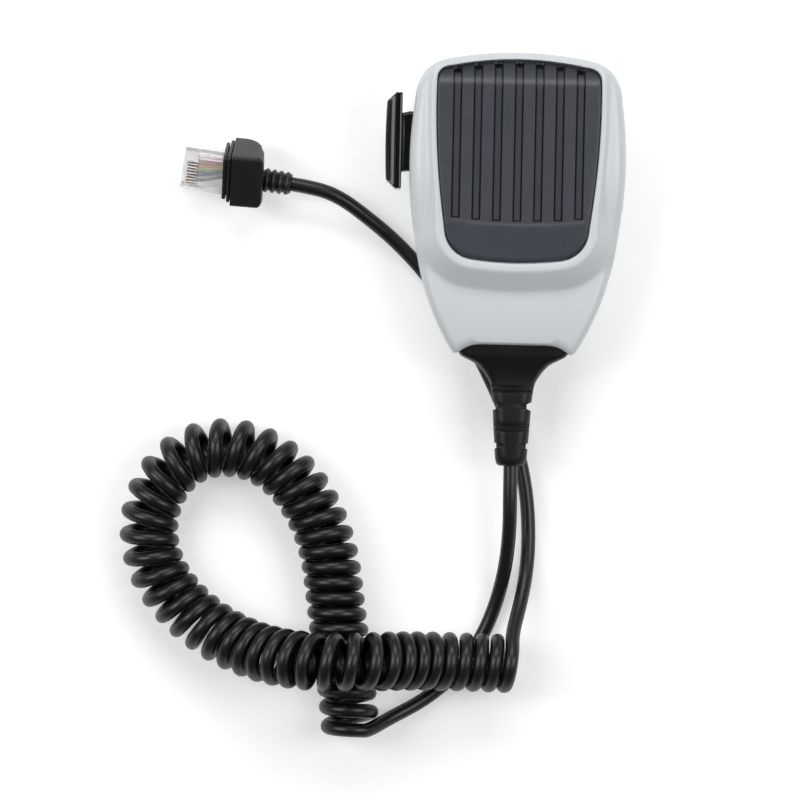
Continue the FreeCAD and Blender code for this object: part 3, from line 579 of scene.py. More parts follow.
def make_materials():
    made = [
        surface("case_grey", shade(199, 204, 207), 0.36, grain=0.16, depth=0.005, spread=0.012),
        textured_plastic("grille_dark", (55, 59, 66), 0.37, 0.045),
        # the grille's plastic made darker: painted shade on the grooves' floors and in the thin deep lines
        # round them
        textured_plastic("groove_painted_shade", (47, 50, 57), 0.4, 0.03),
        glossy_plastic("button_black", (9, 9, 11)),
        rubber("boot_rubber", (11, 12, 16), 0.42, 0.2, 0.3),
        rubber("hood_rubber", (16, 17, 20), 0.38, 0.25),
        cord_jacket("cord_pvc", (6, 6, 8)),
        clear_plastic("clear_plug"),
        metal("contact_gold", (176, 136, 66), 0.3),
        surface("felt_black", shade(22, 22, 23), 0.9, grain=0.12, depth=0.06, Sheen_Weight=0.4),
        metal("screw_steel", (170, 170, 168), 0.32),
        metal("stud_chrome", (190, 190, 190), 0.16, 0.2, 0.001),
        metal("spring_steel", (150, 150, 150), 0.28, 0.1, 0.003),
        metal("capsule_metal", (185, 185, 183), 0.35),
        surface("board_green", shade(30, 96, 58), 0.38, grain=0.5, depth=0.006, spread=0.12),
        surface("component_black", shade(38, 38, 40), 0.55, grain=0.12, depth=0.008),
        surface("connector_white", shade(222, 217, 200), 0.45, grain=0.2, depth=0.004),
        metal("clamp_steel", (160, 160, 158), 0.36, 0.15, 0.005),
        surface("wire_colours", shade(196, 120, 60), 0.4, grain=0.2, depth=0.003, spread=0.15),
    ]
    return {material.name.split(".")[0]: material for material in made}


def dress_frame(materials):
    """Every part that stays as it was packed gets its slot's material."""
    for entry in frame["record"]["materials"]:
        for name in entry.get("nodes", []):
            node = frame["nodes"][name]
            node.data.materials.clear()
            node.data.materials.append(materials[entry["slot"]])


# ---- case ----------------------------------------------------------------------------------

class Spoke:
    """One line across the front of the case, from its outer edge to the grille's nearest edge."""

    def __init__(self, outer, grille_loop):
        self.outer = outer
        self.inner = nearest(outer, grille_loop)
        self.length = math.dist(outer, self.inner)
        self.edge_reach = min(3.6, 0.42 * self.length)
        end_share = smoothstep(-outer[1], 48.2, 48.55) * smoothstep(-abs(outer[0]), -14.0, -11.0)
        self.edge_reach = mix(self.edge_reach, 1.0, end_share)

    def at(self, from_grille):
        share = from_grille / self.length
        return (mix(self.inner[0], self.outer[0], share), mix(self.inner[1], self.outer[1], share))

    def height(self, from_grille):
        """The front's height at a distance out from the grille's edge."""
        y = self.at(from_grille)[1]
        head = smoothstep(y, *HEAD_RISE_Y)
        edge_z = mix(LOW_EDGE_Z, HEAD_EDGE_Z, head)
        face_z = mix(LOW_FACE_Z, HEAD_FACE_Z, head)
        sag = 1.1 * max(0.0, (-36.0 - y) / 12.6) ** 2 * (1 - head)
        from_edge = self.length - from_grille
        beyond = max(0.0, 1 - from_edge / self.edge_reach)
        flank = 0.10 * head * max(0.0, from_grille - 3.0)
        base = mix(edge_z, face_z - flank - sag, math.sqrt(max(0.0, 1 - beyond ** 2)))
        low_end = smoothstep(-y, 0.0, 20.0)
        crest_w = mix(*RIM_W, low_end)
        past = max(0.0, from_grille - crest_w)
        ridge = CREST_Z - mix(*RIM_SLOPE, low_end) * (math.sqrt(past * past + 0.45) - math.sqrt(0.45))
        ridge -= RIM_LEAN * low_end * max(0.0, crest_w - from_grille)
        lip = max(0.0, 1.0 - from_grille)
        ridge -= 0.9 * lip * lip
        return smooth_max(base, ridge, 0.9) - drop(y)


def case_loop():
    return outline(CASE_SPANS, CASE_POINTS, 6)


def grille_loop(inset=0.0):
    loop = outline(GRILLE_SPANS, GRILLE_POINTS, 4)
    return scaled(loop, GRILLE_CENTRE_Y, GRILLE_HALF_W, GRILLE_HALF_L, inset)


def front_rings(spokes):
    """The front case's section along every spoke, as closed rings round the case."""

    def level(from_edge, z):
        return [(*s.at(s.length - from_edge(s)), z(s)) for s in spokes]

    def top(from_grille):
        return [(*s.at(from_grille(s)), s.height(from_grille(s))) for s in spokes]

    rings = [
        level(lambda s: SEAM, lambda s: PARTING_Z + PARTING_GAP),
        level(lambda s: 0, lambda s: PARTING_Z + SEAM + 0.05),
    ]
    for share in (0.3, 0.65):
        rings.append(level(lambda s: 0, lambda s: mix(PARTING_Z, s.height(s.length), share)))
    edge_steps = 9
    for i in range(edge_steps + 1):
        swing = math.cos(math.pi / 2 * i / edge_steps)
        rings.append(top(lambda s: s.length - s.edge_reach * (1 - swing)))
    inner_steps = 20
    middle_steps = 6
    for i in range(1, middle_steps):
        share = i / middle_steps
        rings.append(top(lambda s: mix(s.length - s.edge_reach, inner_reach(s), share)))
    for i in range(inner_steps + 1):
        share = 1 - i / inner_steps
        rings.append(top(lambda s: mix(GRILLE_GAP, inner_reach(s), share)))
    ledge = LEDGE_BELOW_CREST
    for out, below, dips in ((0.3, 0.35, 0), (0.3, ledge, 1), (-1.2, ledge, 1), (-1.2, ledge + 1.6, 1)):
        ring = []
        for s in spokes:
            x, y = s.at(out)
            ring.append((x, y, CREST_Z - below - drop(y) - dips * grille_dip(y)))
        rings.append(ring)
    rings.append([(*s.at(0.45 * s.length), s.height(0.6 * s.length) - 2.6) for s in spokes])
    wall = [min(WALL, 0.4 * s.length) for s in spokes]
    for z in (LOW_EDGE_Z - 3.2, PARTING_Z + PARTING_GAP):
        rings.append([(*s.at(s.length - w), z) for s, w in zip(spokes, wall)])
    return rings


def inner_reach(spoke):
    return min(9.6, 0.55 * spoke.length)


def button_opening(name):
    """The tool that cuts the button's slot, with rounded corners."""
    tool = block(
        name, (-37.0, -30.3), (NECK_Y[0] - NECK_GAP, NECK_Y[1] + NECK_GAP),
        (PTT_Z - NECK_HALF_H - NECK_GAP, PTT_Z + NECK_HALF_H + NECK_GAP),
    )
    bevel(tool, 1.0, 3)
    return tool


def front_case(materials):
    loop = grille_loop()
    spokes = [Spoke(p, loop) for p in case_loop()]
    piece = skin("front_shell", front_rings(spokes), joined=True)
    combine(piece, button_opening("slot_tool"), "DIFFERENCE")
    return dress(piece, materials["case_grey"], "microphone", ["front_case"], sharp=50)


def rear_case(materials):
    """The rear shell: a flat back with rounded edges, and screw recesses."""
    loop = case_loop()

    def ring(inset, z):
        return [(x, y, z) for x, y in scaled(loop, CASE_CENTRE_Y, CASE_HALF_W, CASE_HALF_L, inset)]

    floor = BACK_Z + WALL
    rings = [ring(12, floor), ring(5, floor), ring(WALL + 0.6, floor), ring(WALL, floor + 0.6)]
    rings += [ring(WALL, PARTING_Z - PARTING_GAP), ring(SEAM, PARTING_Z - PARTING_GAP)]
    rings.append(ring(0, PARTING_Z - SEAM - 0.05))
    rings += [ring(0, 16.0), ring(0, 13.0)]
    reach, fall, steps = 2.7, 3.4, 9
    for i in range(steps + 1):
        angle = math.pi / 2 * i / steps
        rings.append(ring(reach * (1 - math.cos(angle)), BACK_Z + fall * (1 - math.sin(angle))))
    rings += [ring(3.4, BACK_Z), ring(9, BACK_Z), ring(18, BACK_Z)]
    piece = skin("rear_shell", rings)
    recesses = []
    for x, y in SCREW_RECESSES:
        recesses.append(rod("recess", (x, y, BACK_Z - 1), (x, y, BACK_Z + 1.9), RECESS_R))
    combine(piece, merged("recesses", recesses), "DIFFERENCE")
    combine(piece, button_opening("slot_tool"), "DIFFERENCE")
    return dress(piece, materials["case_grey"], "microphone", ["rear_case"], sharp=40)


# ---- grille --------------------------------------------------------------------------------

def groove_end(x):
    """Where a groove ends: the ends lie on a slight arc."""
    return GROOVE_END_Y + GROOVE_END_RISE * (x / GROOVE_PITCH) ** 2


def grille_height(x, y):
    """The grille's face: flat, dipping at the top, with a low ridge below the grooves."""
    below = groove_end(x) - y
    ridge = RIDGE_RISE * smoothstep(below, 0.25, RIDGE_END)
    fall = 0.105 * max(0.0, below - RIDGE_END)
    return GRILLE_FACE_Z - drop(y) - grille_dip(y) + ridge - fall


def port_top(x):
    """Where a sound port ends, just inside the grille's curved top."""
    share = ((abs(x) + PORT_SIZE[0] / 2) / GRILLE_SPANS[0][2][0]) ** 2
    return mix(GRILLE_SPANS[0][0][1], GRILLE_SPANS[0][2][1], share) - PORT_RIM


def groove_tool(x):
    """The space of one groove: a shallow floor with a deep thin line round it, and broken top edges."""
    half = GROOVE_W / 2
    inner = half - EDGE_LINE_W
    wide = half + GROOVE_CHAMFER
    steps = 34
    first = groove_end(x)
    second = first + EDGE_LINE_W
    stations = [(first, EDGE_LINE_DEPTH - 0.05), (second, EDGE_LINE_DEPTH - 0.05)]
    stations += [(mix(second + 0.03, port_top(x), i / steps), GROOVE_DEPTH) for i in range(steps + 1)]
    rings = []
    for y, depth in stations:
        face = grille_height(x, y)
        section = [
            (-half, face - EDGE_LINE_DEPTH), (-inner, face - EDGE_LINE_DEPTH), (-inner, face - depth),
            (inner, face - depth), (inner, face - EDGE_LINE_DEPTH), (half, face - EDGE_LINE_DEPTH),
            (half, face - GROOVE_CHAMFER), (wide, face + 0.01), (wide, 37.0),
            (-wide, 37.0), (-wide, face + 0.01), (-half, face - GROOVE_CHAMFER),
        ]
        rings.append([(x + across, y, z) for across, z in section])
    return skin("groove", rings)


def port_tool(x):
    top = port_top(x)
    half = PORT_SIZE[0] / 2
    return block("port", (x - half, x + half), (top - PORT_SIZE[1], top), (20.0, 38.0))


def grille_ring(inset, below=0.0):
    """The grille's outline, moved inwards, at a depth below its face."""
    return [(x, y, grille_height(x, y) - below) for x, y in grille_loop(inset)]


def grille(materials):
    """The dark plate with seven grooves, each with a sound port at its top."""
    steps = 60
    back_steps = 24

    def edge(y):
        """How far the plate's edge is rounded at y."""
        return 0.45 + 0.9 * smoothstep(-y, 15.0, 21.0)

    rings = [grille_ring(mix(GRILLE_CORE, 0.2, i / back_steps), GRILLE_T) for i in range(back_steps + 1)]
    rings.append(grille_ring(0.0, GRILLE_T - 0.2))
    for angle in (0, 18, 36, 54, 72, 90):
        turn = math.radians(angle)
        ring = []
        for (x, y), (inner_x, inner_y) in zip(grille_loop(0.0), grille_loop(1.0)):
            share = edge(y) * (1 - math.cos(turn))
            px, py = mix(x, inner_x, share), mix(y, inner_y, share)
            ring.append((px, py, grille_height(px, py) - edge(y) * (1 - math.sin(turn))))
        rings.append(ring)
    for i in range(steps):
        rings.append(grille_ring(mix(1.6, GRILLE_CORE, i / (steps - 1))))
    piece = skin("grille_plate", rings)
    places = [(i - (GROOVES - 1) / 2) * GROOVE_PITCH for i in range(GROOVES)]
    combine(piece, merged("grooves", [groove_tool(x) for x in places]), "DIFFERENCE")
    combine(piece, merged("ports", [port_tool(x) for x in places]), "DIFFERENCE")
    dress(piece, materials["grille_dark"], "microphone", ["grille"], sharp=30)
    # faces sunk into the grooves get the darker copy of the grille's plastic, as painted shade in those
    # recesses
    piece.data.materials.append(materials["groove_painted_shade"])
    for face in piece.data.polygons:
        x, y, z = face.center / MM
        below = grille_height(x, y) - z
        if 0.3 < below < 2.4 and abs(x) < (GROOVES / 2) * GROOVE_PITCH and y > groove_end(x) - 0.1:
            face.material_index = 1
    return piece


def grille_cloth(materials):
    """The felt behind the grille, which follows the plate's back."""
    steps = 24
    insets = [mix(GRILLE_CORE, 0.8, i / steps) for i in range(steps + 1)]
    rings = [grille_ring(inset, GRILLE_T + CLOTH_GAP + CLOTH_T) for inset in insets]
    rings += [grille_ring(inset, GRILLE_T + CLOTH_GAP) for inset in reversed(insets)]
    piece = skin("cloth", rings)
    return dress(piece, materials["felt_black"], "microphone", ["grille_cloth"], sharp=40)


# ---- boot ----------------------------------------------------------------------------------

def rounded_ring(half_w, low, high, radius, per_corner=9):
    """A rounded rectangle as (across, up) pairs."""
    radius = min(radius, half_w * 0.98, (high - low) / 2 * 0.98)
    points = []
    for cx, cz, first in (
        (half_w - radius, low + radius, -90), (half_w - radius, high - radius, 0),
        (-half_w + radius, high - radius, 90), (-half_w + radius, low + radius, 180),
    ):
        for i in range(per_corner):
            angle = math.radians(first + 90 * i / (per_corner - 1))
            points.append((cx + radius * math.cos(angle), cz + radius * math.sin(angle)))
    return points


def eased(rows, steps):
    """Rows of numbers with smooth in-between rows."""
    result = []
    for k in range(len(rows) - 1):
        before = rows[max(k - 1, 0)]
        a, b = rows[k], rows[k + 1]
        after = rows[min(k + 2, len(rows) - 1)]
        for i in range(steps):
            t = i / steps
            row = []
            for p, q, r, s in zip(before, a, b, after):
                squared = (2 * p - 5 * q + 4 * r - s) * t * t
                cubed = (3 * q - p - 3 * r + s) * t ** 3
                row.append(0.5 * (2 * q + (r - p) * t + squared + cubed))
            result.append(row)
    result.append(list(rows[-1]))
    return result


def face_slots(low, high, floor):
    """A pair of slots straight across the boot's front and back, cut to this far from its middle."""
    tools = [block("slot", (-12, 12), (low, high), z) for z in ((BOOT_Z + floor, 26), (5, BOOT_Z - floor))]
    return merged("slots", tools)


def side_notches(low, high):
    """A pair of notches through the boot's sides, which open outwards."""
    middle = (low + high) / 2
    half = (high - low) / 2
    plan = [
        (4.6, -half * 0.6), (6.3, -half * 1.3), (9.0, -half * 1.3),
        (9.0, half * 1.3), (6.3, half * 1.3), (4.6, half * 0.6),
    ]
    tools = []
    for side in (-1, 1):
        tools.append(skin("notch", [[(side * x, middle + y, z) for x, y in plan] for z in (5, 26)]))
    return merged("notches", tools)


def notch_pockets(low, high):
    """Where the notches run on into the boot's front and back."""
    middle = (low + high) / 2
    half = (high - low) / 2 * 0.62
    tools = []
    for z in ((BOOT_Z + 3.6, 26), (5, BOOT_Z - 3.6)):
        for x in ((2.3, 8), (-8, -2.3)):
            tools.append(block("pocket", x, (middle - half, middle + half), z))
    return merged("pockets", tools)


def cord_boot(materials):
    """The flared rubber boot, dished at the front of its flare."""
    rings = []
    for y, half_w, low, high, radius in eased(BOOT_SECTIONS, 4):
        dish = 0.9 * smoothstep(y, -64.0, -57.0) * smoothstep(-y, 48.4, 50.5)
        ring = []
        for x, z in rounded_ring(half_w, low, high, radius):
            if z > BOOT_Z + 3:
                z -= dish * max(0.0, 1 - (x / (half_w - 1.1)) ** 2)
            ring.append((x, y, z))
        rings.append(ring)
    piece = skin("boot", rings)
    for low, high in BOOT_SLOTS_Y:
        combine(piece, face_slots(low, high, SLOT_FLOOR), "DIFFERENCE")
        combine(piece, face_slots(low - 0.05, low + SLOT_LINE_W, SLOT_LINE_FLOOR), "DIFFERENCE")
        combine(piece, face_slots(high - SLOT_LINE_W, high + 0.05, SLOT_LINE_FLOOR), "DIFFERENCE")
    for low, high in BOOT_NOTCHES_Y:
        combine(piece, side_notches(low, high), "DIFFERENCE")
        combine(piece, notch_pockets(low, high), "DIFFERENCE")
    bevel(piece, 0.25, 2, 40)
    return dress(piece, materials["boot_rubber"], "microphone", ["cord_boot"], sharp=42)


# ---- push-to-talk button -------------------------------------------------------------------

def paddle():
    """The paddle as sections along its length, with chamfered ends and a groove between cap and base."""
    low, high = PADDLE_Y
    half = (high - low) / 2
    places = [0.0, 0.12, 0.35, 0.8, 1.4, 2.0, 2.6, 3.0, 3.5, 4.5, 6.0, 8.0, 10.5, 13.0, half]
    ys = [low + p for p in places] + [high - p for p in reversed(places[:-1])]
    rings = []
    for y in ys:
        from_end = min(y - low, high - y)
        bulge = PADDLE_BULGE * ((y - low - half) / half) ** 2
        limit = PADDLE_OUTER_X + bulge + max(0.0, PADDLE_CHAMFER - from_end)
        tip = 0.35 * max(0.0, 1 - from_end / 0.35) ** 2
        half_ring = []
        for x, up in PADDLE_SECTION:
            x = max(x + bulge * smoothstep(-x, 38.0, 40.5), limit)
            half_ring.append((min(x, -36.3 - tip * 0.4), y, up * (1 - tip * 0.06)))
        upper = [(x, y_, PTT_Z + up) for x, y_, up in half_ring]
        lower = [(x, y_, PTT_Z - up) for x, y_, up in reversed(half_ring[1:])]
        rings.append(upper + lower)
    return skin("paddle", rings)


def neck():
    """The stem through the case wall, which leans a little where it meets the paddle."""
    rings = []
    straight = [(-33.9, *NECK_Y, NECK_HALF_H), (-29.6, *NECK_Y, NECK_HALF_H)]
    for x, low, high, height in NECK_ROOT + straight:
        middle = (low + high) / 2
        half = (high - low) / 2
        rings.append([(x, middle + a, PTT_Z + b) for a, b in rounded_ring(half, -height, height, 1.1, 6)])
    return skin("neck", rings)


def ptt_button(materials):
    piece = paddle()
    combine(piece, neck(), "UNION")
    combine(piece, block("flange", FLANGE_X, FLANGE_Y, FLANGE_Z), "UNION")
    nose_x = RIB_TIP_X - RIB_NOSE_R
    rib_y = (RIB_Y - RIB_NOSE_R, RIB_Y + RIB_NOSE_R)
    rib_z = (RIB_Z - RIB_HALF, RIB_Z + RIB_HALF)
    combine(piece, block("rib", (FLANGE_X[1] - 0.5, nose_x), rib_y, rib_z), "UNION")
    nose = rod("nose", (nose_x, RIB_Y, rib_z[0]), (nose_x, RIB_Y, rib_z[1]), RIB_NOSE_R)
    combine(piece, nose, "UNION")
    return dress(piece, materials["button_black"], "ptt_button", ["ptt_button"], sharp=34)


def ptt_springs(materials):
    """Two return springs, which on the real button shorten as it goes in; here they keep their resting
    length.
    """
    coils = []
    per_turn = 20
    for middle_y in SPRING_Y:
        path = []
        for i in range(SPRING_TURNS * per_turn + 1):
            angle = 2 * math.pi * i / per_turn
            x = mix(SPRING_X[0] + SPRING_WIRE_R, SPRING_X[1] - SPRING_WIRE_R, i / (SPRING_TURNS * per_turn))
            y = middle_y + SPRING_R * math.cos(angle)
            z = PTT_Z + SPRING_R * math.sin(angle)
            path.append(Vector((x, y, z)) * MM)
        line = nurbs("spring", path, SPRING_WIRE_R * MM)
        line.data.use_fill_caps = True
        graph = bpy.context.evaluated_depsgraph_get()
        mesh = bpy.data.meshes.new_from_object(line.evaluated_get(graph))
        coils.append(bpy.data.objects.new("coil", mesh))
        bpy.data.objects.remove(line)
    piece = merged("return_springs", coils)
    dress(piece, materials["spring_steel"], "microphone", ["ptt_springs"], sharp=60)
    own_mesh(piece)


# ---- hanger stud ---------------------------------------------------------------------------

def hanger_stud(materials):
    """A turned stud: a wide flange with broken edges on a waisted neck."""
    profile = [
        (0.6, 0.0), (7.9, 0.0), (8.5, 0.15), (8.75, 0.5), (8.75, 1.5), (8.5, 1.85), (8.0, 2.0), (5.6, 2.0),
        (4.9, 2.15), (4.5, 2.6), (4.5, 6.6), (4.9, 7.0), (4.9, 7.4), (0.6, 7.4),
    ]
    sides = 72
    rings = []
    for radius, z in profile:
        angles = [2 * math.pi * i / sides for i in range(sides)]
        rings.append([(radius * math.cos(t), radius * math.sin(t), z) for t in angles])
    piece = skin("stud", rings)
    return dress(piece, materials["stud_chrome"], "microphone", ["hanger_stud"], sharp=30)


# ---- plug ----------------------------------------------------------------------------------

PLUG_PLACE = (
    Matrix.Translation(Vector(PLUG_NOSE) * MM)
    @ Matrix.Rotation(PLUG_TURN, 4, "Z")
    @ Matrix.Rotation(PLUG_ROLL, 4, "X")
)


def lay(piece):
    """Moves a plug piece from the plug's own frame to where the plug lies."""
    piece.data.transform(PLUG_PLACE)
    return piece


def contact_y(i):
    return (i - (CONTACTS - 1) / 2) * CONTACT_PITCH


def plug_body(materials):
    """The clear body: stepped at the nose, slotted for its contacts, hollow behind them."""
    length, width, height = PLUG_SIZE
    piece = block("clear_body", (NOSE_X, length), (-width / 2, width / 2), (-height / 2, height / 2))
    combine(piece, block("step", (-1, NOSE_X + 0.9), (-6, 6), (2.2, 5)), "DIFFERENCE")
    combine(piece, block("hollow", (5.4, length + 1), (-4.7, 4.7), (-1.5, 1.7)), "DIFFERENCE")
    bevel(piece, 0.3, 2)
    slots = []
    for i in range(CONTACTS):
        y = contact_y(i)
        x = (CONTACT_X[0] - 0.25, CONTACT_X[1] + 0.2)
        slots.append(block("slot", x, (y - 0.27, y + 0.27), (1.0, 4)))
    combine(piece, merged("slots", slots), "DIFFERENCE")
    return dress(lay(piece), materials["clear_plug"], "microphone", ["plug_body"], sharp=30)


def plug_contacts(materials):
    blades = []
    for i in range(CONTACTS):
        y = contact_y(i)
        blades.append(block("blade", CONTACT_X, (y - 0.2, y + 0.2), (1.2, PLUG_SIZE[2] / 2 - 0.3)))
    piece = merged("contact_blades", blades)
    bevel(piece, 0.06, 1)
    gold = materials["contact_gold"]
    return dress(lay(piece), gold, "microphone", ["plug_contacts"], sharp=30)


def plug_wires(materials):
    """Eight coloured wires that gather towards one side behind the contacts."""
    pieces = []
    for i, colour in enumerate(WIRE_SHADES):
        y = contact_y(i)
        path = [
            (4.9, y, 0.2), (7.0, y * 0.98 + 0.1, 0.3), (10.0, y * 0.86 + 0.9, 0.5),
            (13.0, y * 0.72 + 1.7, 0.4), (15.5, y * 0.66 + 1.9, 0.2), (18.0, y * 0.6 + 1.2, 0.0),
            (20.5, y * 0.55 + 0.5, 0.0),
        ]
        name = "wire_%d" % (i + 1)
        line = nurbs(name, [PLUG_PLACE @ (Vector(p) * MM) for p in path], WIRE_R * MM)
        line.data.use_fill_caps = True
        tint = surface(name, shade(*colour), 0.4, grain=0.3, depth=0.003, patch=2.0, spread=0.12)
        line.data.materials.append(tint)
        place(line, "microphone", ["plug_wires"])
        pieces.append(line)
    return pieces


def plug_latch(materials):
    """The springy tongue under the plug: a thin root, a step and a thumb end."""
    side = [
        (0.4, -3.5), (0.4, -4.3), (5.9, -5.7), (6.2, -6.3), (7.0, -6.35), (7.4, -5.9), (12.2, -6.95),
        (12.6, -6.75), (12.6, -6.1), (12.2, -5.95), (7.2, -4.9), (1.6, -3.5),
    ]
    rings = []
    for y, inset in ((-3.1, 0.15), (-2.95, 0.0), (2.95, 0.0), (3.1, 0.15)):
        middle_x = 6.4
        rings.append([(mix(x, middle_x, inset * 0.06), y, mix(z, -5.2, inset * 0.5)) for x, z in side])
    piece = skin("latch", rings)
    return dress(lay(piece), materials["clear_plug"], "plug_latch", ["plug_latch"], sharp=30)


def hood_main():
    """The hood's body: a big round at the rear of the latch side, small ones elsewhere."""
    front_x = 16.3
    rear_x = HOOD_X[1]
    reach_x = 7.2
    reach_z = 13.0
    side = [(front_x, -HOOD_HALF_T)]
    for i in range(17):
        angle = math.radians(-90 + 90 * i / 16)
        x = rear_x - reach_x + reach_x * math.cos(angle)
        side.append((x, -HOOD_HALF_T + reach_z + reach_z * math.sin(angle)))
    side += [(rear_x, 6.1), (rear_x - 0.35, 6.85), (rear_x - 1.1, 7.3)]
    side += [(rear_x - 3.0, HOOD_HALF_T), (20.0, HOOD_HALF_T), (front_x, HOOD_HALF_T)]
    rings = []
    low_side = [(0.0, 0.7), (0.15, 0.35), (0.45, 0.12), (0.85, 0.0), (1.65, 0.0), (2.4, 0.0), (4.0, 0.0)]
    high_side = [(4.0, 0.0), (2.4, 0.0), (1.2, 0.0), (1.05, 0.05), (0.15, 0.9), (0.0, 1.1)]
    places = [(depth - HOOD_HALF_W, inset) for depth, inset in low_side]
    places += [(HOOD_HALF_W - depth, inset) for depth, inset in high_side]
    for y, inset in places:
        corner = max(0.0, abs(y) - (HOOD_HALF_W - 2.4))
        back = 2.4 - math.sqrt(max(0.0, 2.4 ** 2 - corner ** 2))
        ring = []
        for x, z in side:
            share = inset / HOOD_HALF_T
            x = min(x, rear_x - back)
            ring.append((x, y, z * (1 - share)))
        rings.append(ring)
    return skewed(skin("hood", rings))


def skewed(piece):
    """The soft hood sits a little askew on the plug."""
    middle = Vector((20.0, 0, 0)) * MM
    turn = Matrix.Rotation(HOOD_SKEW, 4, "Z")
    slide = Vector((0, HOOD_SHIFT, 0)) * MM
    piece.data.transform(Matrix.Translation(middle + slide) @ turn @ Matrix.Translation(-middle))
    return piece


def hood_mouth():
    """Two stepped lips with a groove behind each."""
    steps = [
        (13.5, 1.55), (13.62, 1.35), (14.45, 1.3), (14.6, 1.45), (14.62, 2.2), (15.0, 2.2), (15.02, 0.85),
        (15.15, 0.7), (15.85, 0.65), (16.0, 0.8), (16.02, 1.7), (16.7, 1.7),
    ]
    rings = []
    for x, inset in steps:
        ring = rounded_ring(HOOD_HALF_W - inset, -HOOD_HALF_T + inset, HOOD_HALF_T - inset, 1.3, 6)
        rings.append([(x, a, b) for a, b in ring])
    return skewed(skin("mouth", rings))


def hood_relief():
    """The ribbed strain relief: round ribs on a thinner core."""
    start = HOOD_X[1] - 0.8
    pitch = (RELIEF_END_X - HOOD_X[1]) / RELIEF_RIBS
    sides = 40
    per_rib = 10
    rings = []
    stations = [start] + [HOOD_X[1] + pitch * i / per_rib for i in range(RELIEF_RIBS * per_rib + 1)]
    for x in stations:
        along = max(0.0, x - HOOD_X[1])
        share = along / (RELIEF_END_X - HOOD_X[1])
        wave = 0.5 - 0.5 * math.cos(2 * math.pi * (along / pitch + 0.12))
        radius = 2.95 + (0.95 - 0.25 * share) * wave ** 0.6
        rings.append([
            (x, radius * math.cos(2 * math.pi * i / sides), radius * math.sin(2 * math.pi * i / sides))
            for i in range(sides)
        ])
    return skin("relief", rings)


def plug_hood(materials):
    piece = hood_main()
    combine(piece, hood_mouth(), "UNION")
    combine(piece, hood_relief(), "UNION")
    length, width, height = PLUG_SIZE
    gap = 0.12
    half_w, half_h = width / 2 + gap, height / 2 + gap
    combine(piece, block("socket", (12, length + 1.5), (-half_w, half_w), (-half_h, half_h)), "DIFFERENCE")
    return dress(lay(piece), materials["hood_rubber"], "microphone", ["plug_hood"], sharp=32)


# ---- cord ----------------------------------------------------------------------------------

def nurbs(name, points, radius=0.0):
    """A smooth open curve with these control points, in metres."""
    curve = bpy.data.curves.new(name, "CURVE")
    curve.dimensions = "3D"
    curve.bevel_depth = radius
    curve.bevel_resolution = 5
    curve.resolution_u = 4
    spline = curve.splines.new("NURBS")
    spline.points.add(len(points) - 1)
    for control, point in zip(spline.points, points):
        control.co = (*point, 1.0)
    spline.order_u = 3
    spline.use_endpoint_u = True
    piece = bpy.data.objects.new(name, curve)
    bpy.context.scene.collection.objects.link(piece)
    return piece


def axis_line():
    """Points along the coil's axis, and their distances from its start."""
    axis = nurbs("axis", COIL_AXIS)
    axis.data.resolution_u = 16
    graph = bpy.context.evaluated_depsgraph_get()
    line = [v.co.copy() for v in bpy.data.meshes.new_from_object(axis.evaluated_get(graph)).vertices]
    bpy.data.objects.remove(axis)
    distances = [0.0]
    for a, b in zip(line, line[1:]):
        distances.append(distances[-1] + (b - a).length)
    return line, distances


def helix_points():
    """The cord's turns round the coil's axis, which fan out round a bend."""
    line, distances = axis_line()
    last = len(line) - 1
    window = 8
    mean_r = COIL_MEAN_R * MM
    turns = [0.0]
    directions = []
    for i in range(len(line)):
        a, b = line[max(i - window, 0)], line[min(i + window, last)]
        directions.append((b - a).normalized())
    for i in range(last):
        before, after = max(i - window, 0), min(i + window, last)
        bend = directions[before].angle(directions[after]) / (distances[after] - distances[before])
        pitch = max(LOOSE_PITCH, INNER_PITCH / (1 - mean_r * bend))
        pitch = mix(END_PITCH, pitch, smoothstep(distances[i], 0.4 * END_STRETCH, 1.4 * END_STRETCH)) * MM
        inside = COIL_START <= distances[i] <= distances[-1] - COIL_END
        turns.append(turns[-1] + ((distances[i + 1] - distances[i]) / pitch if inside else 0))
    whole = round(turns[-1])
    final = whole * 2 * math.pi + LAST_PHASE
    count = round((final - FIRST_PHASE) / (2 * math.pi) * TURN_POINTS)
    radius = mean_r / math.cos(math.pi / TURN_POINTS)
    points = []
    k = 0
    for n in range(count + 1):
        phase = mix(FIRST_PHASE, final, n / count)
        target = turns[-1] * n / count
        while k < last - 1 and turns[k + 1] <= target:
            k += 1
        step = turns[k + 1] - turns[k]
        share = min(1.0, max(0.0, (target - turns[k]) / step)) if step > 0 else 0.0
        centre = line[k].lerp(line[k + 1], share)
        travel = directions[k]
        left = Vector((0, 0, 1)).cross(travel).normalized()
        up = travel.cross(left)
        points.append(centre + (up * math.cos(phase) + left * math.sin(phase)) * radius)
    print("coil turns", whole, "points", len(points))
    return points


def make_cord(materials):
    points = [Vector(p) for p in MIC_LEAD] + helix_points() + [Vector(p) for p in PLUG_LEAD]
    cord = nurbs("curly_cord", points, CORD_R * MM)
    cord.data.use_fill_caps = True
    cord.data.materials.append(materials["cord_pvc"])
    place(cord, "microphone", ["cord_mic_lead", "cord_coil", "cord_plug_lead"])


# ---- floor, light and camera ---------------------------------------------------------------

def make_floor():
    half = 3000.0
    corners = [(-half, -half, 0), (half, -half, 0), (half, half, 0), (-half, half, 0)]
    floor = new_piece("floor", corners, [(0, 1, 2, 3)])
    paper = surface(
        "paper", (0.7, 0.7, 0.7, 1), 0.8, grain=1.0, depth=0.002, patch=60, spread=0.004,
        Emission_Color=(1, 1, 1, 1), Emission_Strength=0.4,
    )
    floor.data.materials.append(paper)


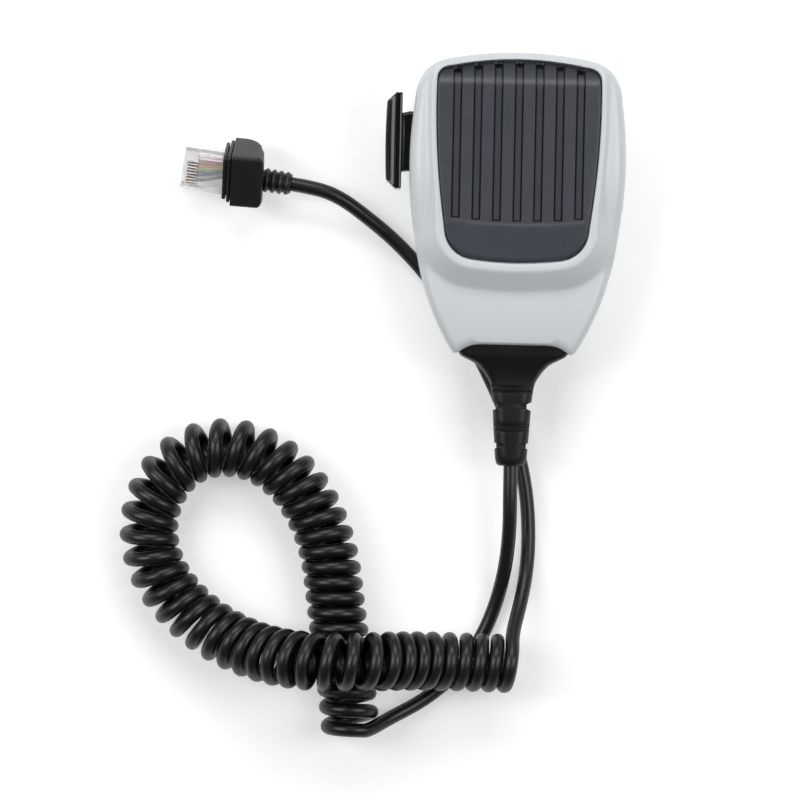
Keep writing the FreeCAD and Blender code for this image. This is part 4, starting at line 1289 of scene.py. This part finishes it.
def area_light(name, location, target, size, watts):
    light = bpy.data.lights.new(name, "AREA")
    light.shape = "RECTANGLE"
    light.size, light.size_y = size
    light.energy = watts
    lamp = bpy.data.objects.new(name, light)
    lamp.location = location
    lamp.rotation_euler = (Vector(target) - Vector(location)).to_track_quat("-Z", "Y").to_euler()
    bpy.context.scene.collection.objects.link(lamp)


def make_light():
    """Three soft boxes, and a weak sky that is paler near the horizon."""
    world = bpy.data.worlds.new("studio")
    world.use_nodes = True
    nodes = world.node_tree.nodes
    links = world.node_tree.links
    where = nodes.new("ShaderNodeTexCoord")
    split = nodes.new("ShaderNodeSeparateXYZ")
    fade = nodes.new("ShaderNodeMapRange")
    fade.inputs["From Max"].default_value = 0.3
    fade.inputs["To Min"].default_value = 0.5
    fade.inputs["To Max"].default_value = 0.15
    links.new(where.outputs["Generated"], split.inputs["Vector"])
    links.new(split.outputs["Z"], fade.inputs["Value"])
    links.new(fade.outputs["Result"], nodes["Background"].inputs["Strength"])
    nodes["Background"].inputs["Color"].default_value = (1, 1, 1, 1)
    bpy.context.scene.world = world
    for name, location, size, watts in LIGHTS:
        area_light(name, location, LIGHT_AIM, size, watts)


def make_camera():
    camera = bpy.data.cameras.new("camera")
    camera.lens = CAMERA_LENS
    camera.sensor_width = 36
    camera.clip_start = 0.01
    rig = bpy.data.objects.new("camera", camera)
    rig.location = CAMERA_AT
    rig.rotation_euler = (0, 0, CAMERA_ROLL)
    bpy.context.scene.collection.objects.link(rig)
    bpy.context.scene.camera = rig
    bpy.context.scene.view_settings.view_transform = "Standard"


# ---- the whole -----------------------------------------------------------------------------

def build():
    materials = make_materials()
    dress_frame(materials)
    front_case(materials)
    rear_case(materials)
    grille(materials)
    grille_cloth(materials)
    cord_boot(materials)
    ptt_button(materials)
    ptt_springs(materials)
    hanger_stud(materials)
    plug_pieces = [plug_hood(materials), plug_body(materials)]
    plug_pieces += [plug_contacts(materials), plug_latch(materials)]
    plug_pieces += plug_wires(materials)
    make_cord(materials)
    make_floor()
    make_light()
    make_camera()


build()
